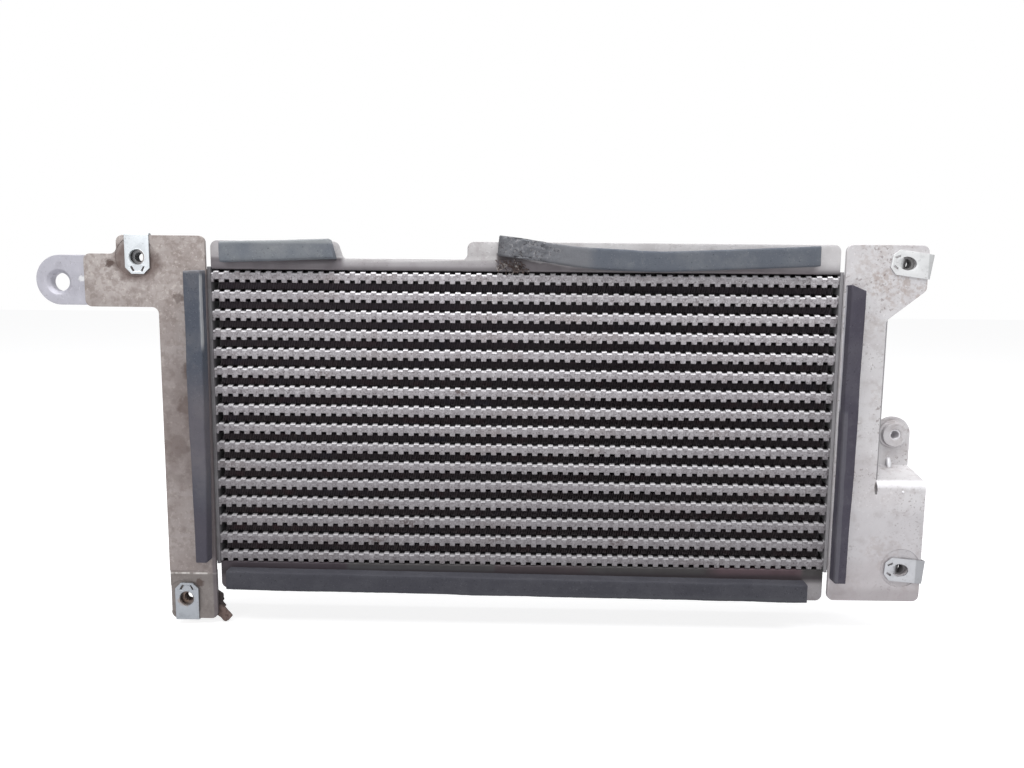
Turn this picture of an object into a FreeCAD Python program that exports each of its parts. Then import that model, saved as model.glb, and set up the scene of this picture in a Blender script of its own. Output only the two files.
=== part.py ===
"""Air-cooled fuel cooler: a brazed aluminium core between two header tanks.

Sixteen toothed flat tubes carry the fuel from tank to tank, and fifteen strips
of air fin lie between them.  Two side plates close the core, two sheet brackets
hold the tanks, spring clip nuts sit on the bracket edges and strips of foam
seal the front against the air duct.

Every piece is modelled about the centre of the core: X runs along the tubes,
Y runs through the core from the front to the rear, Z is up.  The pieces are
then placed so that the origin of the part is the middle of the left ear hole,
at the end of its collar.  All lengths are in millimetres.
"""

import FreeCAD, Part
import Sketcher
import os

doc = FreeCAD.newDocument("fuel_cooler")
sheet = doc.addObject("Spreadsheet::Sheet", "Sizes")

SIZES = [
    # Core
    ("core_width", 375.0, "length of a tube between the header plates"),
    ("core_depth", 32.0, "depth of the core from front to rear"),
    ("row_count", 16, "number of tubes"),
    ("row_pitch", 11.55, "distance from one tube to the next"),
    ("tube_height", 6.0, "height of a tube below its teeth"),
    ("tooth_shift", 1.77, "height of the teeth on the upper tube wall"),
    ("tooth_count", 48, "teeth along one tube"),
    ("fin_recess", 2.5, "how far the air fins lie behind the tube fronts"),
    ("fin_end_gap", 1.0, "gap between a fin strip and the header plate"),
    # Header plates, tanks and pipes
    ("header_wall", 2.0, "thickness of a header plate"),
    ("tank_width", 28.5, "width of a tank outside its header plate"),
    ("tank_depth", 34.0, "depth of a tank from front to rear"),
    ("tank_wall", 2.0, "wall of a tank"),
    ("tank_bevel", 2.5, "bevel of the outer corners of a tank"),
    ("cap_wall", 2.0, "thickness of a tank end cap"),
    ("pipe_radius", 4.0, "outer radius of a fuel pipe"),
    ("pipe_bore", 2.6, "inner radius of a fuel pipe"),
    ("pipe_length", 26.0, "length of a fuel pipe behind its tank"),
    ("pipe_bead", 4.9, "radius of the bead that holds the hose"),
    ("bead_width", 2.6, "width of the bead"),
    ("bead_back", 5.0, "distance from the bead to the end of the pipe"),
    ("pipe_clearance", 0.1, "gap between the pipe and its hole in the tank"),
    ("pipe_rise", 58.0, "height of the inlet above the core centre, and depth of the outlet below it"),
    # Side plates
    ("plate_wall", 1.5, "thickness of a side plate"),
    ("plate_bend", 1.2, "outer radius of the folds of a side plate"),
    ("low_flange", 6.5, "height of the low middle stretch of the top flange"),
    ("left_tab_height", 17.0, "height of the left tab of the top flange"),
    ("left_tab_length", 76.5, "length of the left tab"),
    ("right_tab_height", 17.4, "height of the right tab of the top flange"),
    ("right_tab_length", 221.0, "length of the right tab"),
    ("tab_slope", 3.5, "run of the slanted inner end of the left tab"),
    ("tab_round", 4.0, "corner radius of the tabs"),
    ("bottom_flange", 17.5, "height of the bottom front flange at its left end"),
    ("bottom_flange_fall", 2.5, "fall of the lower edge of that flange towards the right"),
    ("rear_flange", 8.0, "height of the rear flanges"),
    # Brackets
    ("bracket_wall", 2.5, "sheet thickness of the brackets"),
    ("bracket_round", 4.0, "corner radius of the brackets"),
    ("ear_reach", 90.0, "distance from the left ear hole to the header plate along X"),
    ("ear_rise", 82.0, "height of the left ear hole above the core centre"),
    ("left_strip", 29.0, "width of the left bracket in front of its tank"),
    ("left_top", 110.0, "top edge of the left bracket"),
    ("left_tab", 53.0, "width of the left bracket at its top"),
    ("left_bottom", 127.0, "depth of the lower edge of the left bracket"),
    ("arm_top", 17.0, "top edge of the arm above the ear hole"),
    ("arm_bottom", 14.5, "lower edge of the arm below the ear hole"),
    ("arm_end", 17.0, "distance from the ear hole to the end of the arm"),
    ("foot_step", 0.6, "step of the bracket foot towards the rear"),
    ("foot_height", 31.0, "height of the stepped foot"),
    ("ear_wall", 3.0, "thickness of the left ear"),
    ("ear_offset", 1.3, "offset of the rounded end from the ear hole, inwards and upwards"),
    ("ear_radius", 14.9, "radius of the rounded end of the left ear"),
    ("ear_lap", 19.0, "overlap of the left ear and the arm"),
    ("ear_bore", 5.5, "radius of the hole in the left ear"),
    ("ear_dish", 2.2, "width of the dished rim of the ear hole"),
    ("collar_radius", 8.2, "outer radius of the drawn collar behind the ear hole"),
    ("collar_length", 3.5, "length of the drawn collar"),
    ("right_strip", 25.5, "width of the right bracket in front of its tank"),
    ("right_top", 108.0, "top edge of the right bracket"),
    ("right_tab", 48.0, "width of the right bracket at its top"),
    ("right_tab_foot", 81.7, "height of the lower corner of the top lobe"),
    ("right_slope", 18.0, "height of the slanted edge under the top lobe"),
    ("right_lobe", 56.0, "width of the lower lobe of the right bracket"),
    ("right_lobe_top", 34.0, "depth of the fold of the lower lobe"),
    ("right_bottom", 108.7, "depth of the lower edge of the right bracket"),
    ("fold_slit", 1.2, "width of the slit beside the fold"),
    ("fold_round", 6.5, "outer radius of the folds of the right bracket"),
    ("flange_reach", 25.0, "length of the folded flange towards the rear"),
    ("flange_rise", 5.4, "rise of the folded flange towards the rear"),
    ("rear_ear_radius", 11.0, "radius of the rounded rear ear"),
    ("rear_ear_height", 20.1, "height of the rear ear hole above the flange"),
    ("coin_radius", 12.0, "radius of the coined seat round each clip nut"),
    ("coin_depth", 0.5, "depth of the coined seat"),
    # Weld nut of the rear ear
    ("weld_nut_flange", 9.0, "radius of the flange of the weld nut"),
    ("weld_nut_body", 7.6, "radius of the body of the weld nut"),
    ("weld_nut_bore", 3.4, "radius of the thread core"),
    ("weld_nut_wall", 1.2, "thickness of the weld nut flange"),
    ("weld_nut_height", 4.0, "height of the weld nut in front of the ear"),
    ("weld_nut_barrel", 4.9, "radius of the barrel of the weld nut behind its seat"),
    ("barrel_length", 8.0, "length of that barrel"),
    ("rear_ear_bore", 5.0, "radius of the hole in the rear ear behind the weld nut"),
    # Clip nuts
    ("nut_wall", 1.0, "sheet thickness of a clip nut"),
    ("nut_width", 14.3, "width of a clip nut"),
    ("nut_edge", 13.2, "distance from the nut hole to the edge that it clips on"),
    ("nut_leaf", 9.8, "length of the front leaf past the hole"),
    ("nut_rear_leaf", 7.6, "length of the rear leaf past the hole"),
    ("nut_hole", 4.6, "radius of the hole in the front leaf and the bracket"),
    ("nut_bore", 2.6, "radius of the thread core in the rear leaf"),
    ("nut_chamfer", 3.6, "cut corners of the front leaf"),
    ("nut_bend", 0.9, "outer radius of the fold of a clip nut"),
    ("nut_clearance", 0.3, "gap between the bracket edge and the fold of the nut"),
    ("top_left_nut", 41.8, "distance of the top left nut from the inner bracket edge"),
    ("bottom_left_nut", 20.2, "distance of the bottom left nut from the inner bracket edge"),
    ("top_right_nut", 97.2, "height of the top right nut"),
    ("bottom_right_nut", 87.6, "depth of the bottom right nut"),
    ("top_right_tilt", 8.0, "tilt of the top right nut in degrees"),
    ("bottom_right_tilt", 5.0, "tilt of the bottom right nut in degrees"),
    # Foam strips
    ("foam_thick", 8.0, "thickness of the foam strips"),
    ("left_foam_width", 9.6, "width of the left foam strip"),
    ("right_foam_width", 8.5, "width of the right foam strip"),
    ("foam_inset", 0.8, "distance of a side foam strip from the inner bracket edge"),
    ("foam_height", 11.8, "height of the top and bottom foam strips"),
    ("left_foam_top", 90.0, "top of the left foam strip"),
    ("left_foam_bottom", 88.0, "depth of the lower end of the left foam strip"),
    ("right_foam_top", 81.0, "top of the right foam strip at its outer edge"),
    ("right_foam_bottom", 95.0, "depth of the lower end of the right foam strip"),
    ("foam_slant", 3.6, "slant of the cut ends"),
    ("top_left_foam_start", 7.9, "distance of the top left foam strip from the end of the core"),
    ("top_left_foam_length", 66.6, "length of the top left foam strip"),
    ("top_left_foam_lift", 4.0, "height of the top left foam strip above the core at its outer end"),
    ("top_left_foam_rise", 2.0, "rise of the top left foam strip towards the middle"),
    ("top_right_foam_start", 18.7, "distance of the top right foam strip from the start of the tab"),
    ("top_right_foam_end", 14.5, "distance of the top right foam strip from the end of the core"),
    ("foam_peel", 8.2, "height of the peeled inner end of the top right strip above the core"),
    ("foam_dip", 0.4, "height of the lowest stretch of that strip above the core"),
    ("foam_end_lift", 4.5, "height of the outer end of that strip above the core"),
    ("foam_peel_length", 95.0, "length of the peeled stretch"),
    ("bottom_foam_start", 5.5, "distance of the bottom foam strip from the left end of the core"),
    ("bottom_foam_end", 11.5, "distance of the bottom foam strip from the right end of the core"),
    ("bottom_foam_drop", 4.0, "gap between the core and the bottom foam strip"),
    ("bottom_foam_fall", 3.0, "fall of the bottom foam strip towards the right"),
]

for line, (alias, number, meaning) in enumerate(SIZES, start=1):
    sheet.set(f"A{line}", meaning)
    sheet.set(f"B{line}", str(number))
    sheet.setAlias(f"B{line}", alias)
doc.recompute()

# Lengths that several pieces share, worked out from the sheet.
HALF_CORE = "(Sizes.core_width / 2)"
HALF_DEPTH = "(Sizes.core_depth / 2)"
HALF_TANK = "(Sizes.tank_depth / 2)"
# A tube reaches as far below its middle as its teeth reach above it.
TUBE_FOOT = "((Sizes.tube_height + Sizes.tooth_shift) / 2)"
TUBE_WALL = "((Sizes.tube_height - Sizes.tooth_shift) / 2)"
STACK = f"((Sizes.row_count - 1) / 2 * Sizes.row_pitch + {TUBE_FOOT})"
HEADER = f"({HALF_CORE} + Sizes.header_wall)"
TANK_END = f"({HEADER} + Sizes.tank_width)"
BRACKET_FRONT = f"({HALF_TANK} + Sizes.bracket_wall)"
# The end of the collar behind the left ear hole, measured from the middle of the core.
EAR_SEAT = f"({HALF_TANK} - Sizes.ear_wall - Sizes.collar_length)"
EAR_X = f"({HEADER} + Sizes.ear_reach)"
TOP_LEFT_NUT_X = f"({HEADER} + Sizes.top_left_nut)"
BOTTOM_LEFT_NUT_X = f"({HEADER} + Sizes.bottom_left_nut)"
PIPE_X = f"({HEADER} + (Sizes.tank_width - Sizes.tank_wall) / 2)"
REAR_EAR_X = f"({HEADER} + Sizes.right_lobe - Sizes.rear_ear_radius)"
REAR_EAR_Z = "(Sizes.flange_rise + Sizes.rear_ear_height - Sizes.right_lobe_top)"


def nut_room(tilt="0"):
    """Distance from the screw hole of a tilted clip nut to the bracket edge."""
    room = "(Sizes.nut_edge - Sizes.nut_clearance)"
    return f"({room} - Sizes.nut_width / 2 * sin({tilt} * 1deg)) / cos({tilt} * 1deg)"


TOP_LEFT_NUT_Z = f"(Sizes.left_top - {nut_room()})"
BOTTOM_LEFT_NUT_Z = f"({nut_room()} - Sizes.left_bottom)"
TOP_RIGHT_NUT_X = f"({HEADER} + Sizes.right_tab - {nut_room('Sizes.top_right_tilt')})"
BOTTOM_RIGHT_NUT_X = f"({HEADER} + Sizes.right_lobe - {nut_room('Sizes.bottom_right_tilt')})"

# The face that a turned or folded piece sits on, and the middle of a hole.
SEAT = "0"
CENTRE = ("0", "0")

parts = []


def measure(expression):
    """Return the present value of an expression in millimetres."""
    result = sheet.evalExpression(expression)
    return float(getattr(result, "Value", result))


def place(piece, x="0", y="0", z="0", turn=None):
    """Place a piece that is modelled about the core centre, and list it as a part."""
    if turn is not None:
        piece.Placement = FreeCAD.Placement(
            FreeCAD.Vector(), FreeCAD.Rotation(FreeCAD.Vector(0, 1, 0), measure(turn))
        )
    piece.setExpression("Placement.Base.x", f"{EAR_X} + ({x})")
    piece.setExpression("Placement.Base.y", f"({y}) + {EAR_SEAT}")
    piece.setExpression("Placement.Base.z", f"({z}) - Sizes.ear_rise")
    if turn is not None:
        piece.setExpression("Placement.Rotation.Angle", f"({turn}) * 1deg")
    parts.append(piece)
    return piece


def new_body(label):
    body = doc.addObject("PartDesign::Body", label)
    body.Label = label
    return body


def new_sketch(body, plane_role, name, offset="0"):
    """Add a sketch on an origin plane of the body, moved along the plane's normal."""
    plane = [item for item in body.Origin.OriginFeatures if item.Role == plane_role][0]
    sketch = body.newObject("Sketcher::SketchObject", f"{body.Name}_{name}")
    sketch.AttachmentSupport = [(plane, "")]
    sketch.MapMode = "FlatFace"
    sketch.setExpression("AttachmentOffset.Base.z", offset)
    return sketch


def fix_point(sketch, geometry, position, corner):
    """Dimension one point of a sketch from the origin, or put it on an axis."""
    axes = {"DistanceX": -2, "DistanceY": -1}
    for kind, expression in zip(axes, corner):
        if expression == "0":
            on_axis = Sketcher.Constraint("PointOnObject", geometry, position, axes[kind])
            sketch.addConstraint(on_axis)
            continue
        constraint = Sketcher.Constraint(
            kind, -1, 1, geometry, position, measure(expression)
        )
        index = sketch.addConstraint(constraint)
        sketch.setExpression(f"Constraints[{index}]", expression)


def draw_outline(sketch, corners):
    """Draw a closed outline of straight lines through dimensioned corners."""
    points = [FreeCAD.Vector(measure(x), measure(y), 0) for x, y in corners]
    first = sketch.GeometryCount
    count = len(points)
    for index in range(count):
        end = points[(index + 1) % count]
        sketch.addGeometry(Part.LineSegment(points[index], end), False)
    for index in range(count):
        following = first + (index + 1) % count
        joint = Sketcher.Constraint("Coincident", first + index, 2, following, 1)
        sketch.addConstraint(joint)
        fix_point(sketch, first + index, 1, corners[index])


def draw_circle(sketch, centre, radius):
    middle = FreeCAD.Vector(measure(centre[0]), measure(centre[1]), 0)
    axis = FreeCAD.Vector(0, 0, 1)
    index = sketch.addGeometry(Part.Circle(middle, axis, measure(radius)), False)
    fix_point(sketch, index, 3, centre)
    size = sketch.addConstraint(Sketcher.Constraint("Radius", index, measure(radius)))
    sketch.setExpression(f"Constraints[{size}]", radius)


def add_pad(body, sketch, length, backwards=False):
    pad = body.newObject("PartDesign::Pad", f"{sketch.Name}_pad")
    pad.Profile = sketch
    pad.Reversed = backwards
    pad.setExpression("Length", length)
    sketch.Visibility = False
    doc.recompute()
    return pad


def add_pocket(body, sketch, length, backwards=False):
    """Cut a sketch into the body, and stop if nothing was cut."""
    before = body.Shape.Volume
    pocket = body.newObject("PartDesign::Pocket", f"{sketch.Name}_cut")
    pocket.Profile = sketch
    pocket.Reversed = backwards
    pocket.setExpression("Length", length)
    sketch.Visibility = False
    doc.recompute()
    if body.Shape.Volume >= before:
        raise RuntimeError(f"{pocket.Name} cuts nothing")
    return pocket


def edges_along(feature, axis, spots):
    """Name the straight edges that run along an axis through the given spots."""
    others = [index for index in range(3) if index != axis]
    names = []
    for number, edge in enumerate(feature.Shape.Edges, start=1):
        middle = edge.BoundBox.Center
        spread = edge.BoundBox
        spans = (spread.XLength, spread.YLength, spread.ZLength)
        if any(spans[index] > 0.01 for index in others):
            continue
        for spot in spots:
            near = [abs(middle[index] - value) < 0.02 for index, value in zip(others, spot)]
            if all(near):
                names.append(f"Edge{number}")
    return names


def round_edges(body, axis, spots, radius, name):
    """Round the edges that run along an axis through the spots, given as expressions."""
    places = [[measure(value) for value in spot] for spot in spots]
    base = body.Tip
    names = edges_along(base, axis, places)
    if len(names) < len(spots):
        raise RuntimeError(f"{body.Name} {name}: found {len(names)} of {len(spots)} edges")
    fillet = body.newObject("PartDesign::Fillet", f"{body.Name}_{name}")
    fillet.Base = (base, names)
    fillet.setExpression("Radius", radius)
    doc.recompute()
    return fillet


X_AXIS, Y_AXIS, Z_AXIS = 0, 1, 2


def minus(expression):
    return f"-({expression})"


def make_tube():
    """One flat tube with a row of teeth along its upper wall."""
    body = new_body("tube_01")
    pitch = "(Sizes.core_width / Sizes.tooth_count)"
    bar = new_sketch(body, "XZ_Plane", "bar", HALF_DEPTH)
    draw_outline(bar, [
        (minus(HALF_CORE), minus(TUBE_FOOT)),
        (HALF_CORE, minus(TUBE_FOOT)),
        (HALF_CORE, TUBE_WALL),
        (minus(HALF_CORE), TUBE_WALL),
    ])
    add_pad(body, bar, "Sizes.core_depth", backwards=True)

    start = minus(HALF_CORE)
    tooth = new_sketch(body, "XZ_Plane", "tooth", HALF_DEPTH)
    draw_outline(tooth, [
        (start, TUBE_WALL),
        (f"({start} + {pitch})", TUBE_WALL),
        (f"({start} + {pitch} / 2)", TUBE_FOOT),
    ])
    tooth_pad = add_pad(body, tooth, "Sizes.core_depth", backwards=True)

    teeth = body.newObject("PartDesign::LinearPattern", "tube_teeth")
    teeth.Originals = [tooth_pad]
    teeth.Direction = (bar, ["H_Axis"])
    teeth.setExpression("Length", f"Sizes.core_width - {pitch}")
    teeth.setExpression("Occurrences", "Sizes.tooth_count")
    body.Tip = teeth
    doc.recompute()
    return body


def row_height(number):
    """Height of the centre of a tube above the core centre."""
    return f"((Sizes.row_count + 1) / 2 - {number}) * Sizes.row_pitch"


def make_tube_copy(tube, number):
    """A further tube, cloned from the first one."""
    body = new_body(f"tube_{number:02d}")
    clone = body.newObject("PartDesign::FeatureBase", f"{body.Name}_clone")
    clone.BaseFeature = tube
    body.Tip = clone
    doc.recompute()
    return body


def make_box(label, width, depth, height):
    box = doc.addObject("Part::Box", label)
    box.Label = label
    box.setExpression("Length", width)
    box.setExpression("Width", depth)
    box.setExpression("Height", height)
    return box


def make_air_fin(number):
    """A strip of folded air fin between two tubes, as its outer block."""
    band = f"(Sizes.row_pitch - 2 * {TUBE_FOOT})"
    fin = make_box(
        f"air_fin_{number:02d}",
        "Sizes.core_width - 2 * Sizes.fin_end_gap",
        "Sizes.core_depth - 2 * Sizes.fin_recess",
        band,
    )
    return place(
        fin,
        x=f"Sizes.fin_end_gap - {HALF_CORE}",
        y=f"Sizes.fin_recess - {HALF_DEPTH}",
        z=f"{row_height(number + 0.5)} - {band} / 2",
    )


def make_header_plate(side, start):
    """The plate that closes the core on one side and carries the tube ends."""
    half_height = f"({STACK} + Sizes.plate_wall)"
    plate = make_box(
        f"{side}_header_plate", "Sizes.header_wall", "Sizes.tank_depth", f"2 * {half_height}"
    )
    return place(plate, x=start, y=minus(HALF_TANK), z=minus(half_height))


def pad_tank_outline(body, sign, bottom, height):
    """Pad the outline of a tank, seen from above, and bevel its outer corners."""
    outline = new_sketch(body, "XY_Plane", "outline", bottom)
    inner = f"{sign}{HEADER}"
    outer = f"{sign}{TANK_END}"
    draw_outline(outline, [
        (inner, minus(HALF_TANK)),
        (outer, minus(HALF_TANK)),
        (outer, HALF_TANK),
        (inner, HALF_TANK),
    ])
    add_pad(body, outline, height)
    places = [(measure(outer), measure(minus(HALF_TANK))), (measure(outer), measure(HALF_TANK))]
    block = body.Tip
    bevel = body.newObject("PartDesign::Chamfer", f"{body.Name}_bevel")
    bevel.Base = (block, edges_along(block, Z_AXIS, places))
    bevel.setExpression("Size", "Sizes.tank_bevel")
    doc.recompute()


def make_tank(side, sign, pipe_height):
    """A tank: a bevelled channel, closed by the header plate and two caps."""
    body = new_body(f"{side}_tank")
    bottom = f"Sizes.cap_wall - {STACK}"
    height = f"2 * ({STACK} - Sizes.cap_wall)"
    pad_tank_outline(body, sign, bottom, height)

    block = body.Tip
    header_x = measure(f"{sign}{HEADER}")
    open_faces = []
    for number, face in enumerate(block.Shape.Faces, start=1):
        box = face.BoundBox
        at_header = box.XLength < 0.01 and abs(box.Center.x - header_x) < 0.01
        if at_header or box.ZLength < 0.01:
            open_faces.append(f"Face{number}")
    shell = body.newObject("PartDesign::Thickness", f"{body.Name}_shell")
    shell.Base = (block, open_faces)
    shell.Reversed = True
    shell.setExpression("Value", "Sizes.tank_wall")
    doc.recompute()

    hole = new_sketch(body, "XZ_Plane", "pipe_hole", minus(HALF_TANK))
    radius = "(Sizes.pipe_radius + Sizes.pipe_clearance)"
    draw_circle(hole, (f"{sign}{PIPE_X}", pipe_height), radius)
    add_pocket(body, hole, "Sizes.tank_wall", backwards=True)
    return place(body)


def make_tank_cap(side, end, sign, bottom):
    """A plate that closes one end of a tank."""
    body = new_body(f"{side}_tank_{end}_cap")
    pad_tank_outline(body, sign, bottom, "Sizes.cap_wall")
    return place(body)


def turn_profile(body, corners):
    """Turn a half section about the Y axis of the body."""
    section = new_sketch(body, "XY_Plane", "section")
    draw_outline(section, corners)
    turned = body.newObject("PartDesign::Revolution", f"{body.Name}_turned")
    turned.Profile = section
    turned.ReferenceAxis = (section, ["V_Axis"])
    turned.Angle = 360
    section.Visibility = False
    doc.recompute()


def make_pipe(label, x, height):
    """A fuel pipe brazed into the tank wall, with a bead that holds the hose."""
    body = new_body(label)
    bead_end = "(Sizes.pipe_length - Sizes.bead_back)"
    turn_profile(body, [
        ("Sizes.pipe_bore", "-Sizes.tank_wall"),
        ("Sizes.pipe_radius", "-Sizes.tank_wall"),
        ("Sizes.pipe_radius", f"{bead_end} - Sizes.bead_width"),
        ("Sizes.pipe_bead", f"{bead_end} - Sizes.bead_width / 2"),
        ("Sizes.pipe_radius", bead_end),
        ("Sizes.pipe_radius", "Sizes.pipe_length"),
        ("Sizes.pipe_bore", "Sizes.pipe_length"),
    ])
    return place(body, x=x, y=HALF_TANK, z=height)


def make_side_plate(label, sign, front_corners, rounded):
    """A side plate: a web on the outer tube, a high front and a low rear flange."""
    body = new_body(label)
    web_bottom = STACK if sign == "" else minus(f"{STACK} + Sizes.plate_wall")
    web = new_sketch(body, "XY_Plane", "web", web_bottom)
    draw_outline(web, [
        (minus(HALF_CORE), minus(HALF_DEPTH)),
        (HALF_CORE, minus(HALF_DEPTH)),
        (HALF_CORE, HALF_DEPTH),
        (minus(HALF_CORE), HALF_DEPTH),
    ])
    add_pad(body, web, "Sizes.plate_wall")

    front = new_sketch(body, "XZ_Plane", "front_flange", HALF_DEPTH)
    draw_outline(front, front_corners)
    add_pad(body, front, "Sizes.plate_wall", backwards=True)

    rear = new_sketch(body, "XZ_Plane", "rear_flange", f"Sizes.plate_wall - {HALF_DEPTH}")
    near = f"{sign}{STACK}"
    far = f"{sign}({STACK} + Sizes.rear_flange)"
    draw_outline(rear, [
        (minus(HALF_CORE), near),
        (HALF_CORE, near),
        (HALF_CORE, far),
        (minus(HALF_CORE), far),
    ])
    add_pad(body, rear, "Sizes.plate_wall", backwards=True)

    round_edges(body, Y_AXIS, rounded, "Sizes.tab_round", "corners")
    folds = [(minus(HALF_DEPTH), near), (HALF_DEPTH, near)]
    round_edges(body, X_AXIS, folds, "Sizes.plate_bend", "folds")
    return place(body)


def make_top_side_plate():
    """The front flange has a low middle stretch between two tabs."""
    left = minus(HALF_CORE)
    low = f"({STACK} + Sizes.low_flange)"
    left_top = f"({STACK} + Sizes.left_tab_height)"
    right_top = f"({STACK} + Sizes.right_tab_height)"
    tab_end = f"({left} + Sizes.left_tab_length)"
    slope_end = f"({tab_end} + Sizes.tab_slope)"
    right_start = f"({HALF_CORE} - Sizes.right_tab_length)"
    corners = [
        (left, STACK),
        (HALF_CORE, STACK),
        (HALF_CORE, right_top),
        (right_start, right_top),
        (right_start, low),
        (slope_end, low),
        (tab_end, left_top),
        (left, left_top),
    ]
    return make_side_plate("top_side_plate", "", corners, corners[2:])


def make_bottom_side_plate():
    left_low = minus(f"{STACK} + Sizes.bottom_flange")
    right_low = f"({left_low} - Sizes.bottom_flange_fall)"
    corners = [
        (minus(HALF_CORE), minus(STACK)),
        (HALF_CORE, minus(STACK)),
        (HALF_CORE, right_low),
        (minus(HALF_CORE), left_low),
    ]
    return make_side_plate("bottom_side_plate", "-", corners, corners[2:])


def coin_seat(body, name, x, z, front):
    """Press a shallow round seat for a clip nut into the front of a bracket."""
    seat = new_sketch(body, "XZ_Plane", f"{name}_seat", front)
    draw_circle(seat, (x, z), "Sizes.coin_radius")
    add_pocket(body, seat, "Sizes.coin_depth")


def drill_nut_hole(body, name, x, z, front):
    """Drill the hole of a clip nut through a bracket."""
    hole = new_sketch(body, "XZ_Plane", f"{name}_hole", front)
    draw_circle(hole, (x, z), "Sizes.nut_hole")
    add_pocket(body, hole, "2 * Sizes.bracket_wall")


def make_left_bracket():
    """The left bracket: a strip on the tank, an arm for the ear and a stepped foot."""
    body = new_body("left_bracket")
    inner = minus(HEADER)
    outer = minus(f"{HEADER} + Sizes.left_strip")
    tab_side = minus(f"{HEADER} + Sizes.left_tab")
    arm_side = minus(f"{EAR_X} - Sizes.arm_end")
    arm_top = "(Sizes.ear_rise + Sizes.arm_top)"
    arm_bottom = "(Sizes.ear_rise - Sizes.arm_bottom)"
    corners = [
        (inner, "-Sizes.left_bottom"),
        (outer, "-Sizes.left_bottom"),
        (outer, arm_bottom),
        (arm_side, arm_bottom),
        (arm_side, arm_top),
        (tab_side, arm_top),
        (tab_side, "Sizes.left_top"),
        (inner, "Sizes.left_top"),
    ]
    plate = new_sketch(body, "XZ_Plane", "plate", BRACKET_FRONT)
    draw_outline(plate, corners)
    add_pad(body, plate, "Sizes.bracket_wall", backwards=True)

    foot_top = "-(Sizes.left_bottom - Sizes.foot_height)"
    foot = [
        (inner, "-Sizes.left_bottom"),
        (outer, "-Sizes.left_bottom"),
        (outer, foot_top),
        (inner, foot_top),
    ]
    foot_front = new_sketch(body, "XZ_Plane", "foot_front", BRACKET_FRONT)
    draw_outline(foot_front, foot)
    add_pocket(body, foot_front, "Sizes.foot_step")
    foot_rear = new_sketch(body, "XZ_Plane", "foot_rear", HALF_TANK)
    draw_outline(foot_rear, foot)
    add_pad(body, foot_rear, "Sizes.foot_step", backwards=True)

    round_edges(body, Y_AXIS, corners, "Sizes.bracket_round", "corners")
    foot_face = f"{BRACKET_FRONT} - Sizes.foot_step"
    for name, x, z, face in (
        ("top_nut", minus(TOP_LEFT_NUT_X), TOP_LEFT_NUT_Z, BRACKET_FRONT),
        ("bottom_nut", minus(BOTTOM_LEFT_NUT_X), BOTTOM_LEFT_NUT_Z, foot_face),
    ):
        coin_seat(body, name, x, z, face)
        drill_nut_hole(body, name, x, z, face)
    return place(body)


def make_left_ear():
    """The left mounting ear: lapped behind the arm, with a dished hole and a collar."""
    body = new_body("left_ear")
    centre_x = minus(f"{EAR_X} - Sizes.ear_offset")
    centre_z = "(Sizes.ear_rise + Sizes.ear_offset)"
    lap_end = minus(f"{EAR_X} - Sizes.arm_end - Sizes.ear_lap")
    hole = (minus(EAR_X), "Sizes.ear_rise")

    strip = new_sketch(body, "XZ_Plane", "strip", HALF_TANK)
    top = f"({centre_z} + Sizes.ear_radius)"
    bottom = f"({centre_z} - Sizes.ear_radius)"
    draw_outline(strip, [(centre_x, bottom), (lap_end, bottom), (lap_end, top), (centre_x, top)])
    add_pad(body, strip, "Sizes.ear_wall", backwards=True)
    end = new_sketch(body, "XZ_Plane", "end", HALF_TANK)
    draw_circle(end, (centre_x, centre_z), "Sizes.ear_radius")
    add_pad(body, end, "Sizes.ear_wall", backwards=True)
    collar = new_sketch(body, "XZ_Plane", "collar", HALF_TANK)
    draw_circle(collar, hole, "Sizes.collar_radius")
    add_pad(body, collar, "Sizes.ear_wall + Sizes.collar_length", backwards=True)
    bore = new_sketch(body, "XZ_Plane", "bore", HALF_TANK)
    draw_circle(bore, hole, "Sizes.ear_bore")
    add_pocket(body, bore, "Sizes.ear_wall + Sizes.collar_length")

    drilled = body.Tip
    rims = []
    for number, edge in enumerate(drilled.Shape.Edges, start=1):
        round_edge = edge.Curve.TypeId == "Part::GeomCircle"
        if not round_edge or abs(edge.Curve.Radius - measure("Sizes.ear_bore")) > 0.01:
            continue
        if abs(edge.Curve.Center.y + measure(HALF_TANK)) < 0.01:
            rims.append(f"Edge{number}")
    dish = body.newObject("PartDesign::Chamfer", "left_ear_dish")
    dish.Base = (drilled, rims)
    dish.setExpression("Size", "Sizes.ear_dish")
    doc.recompute()
    return place(body)


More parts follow.
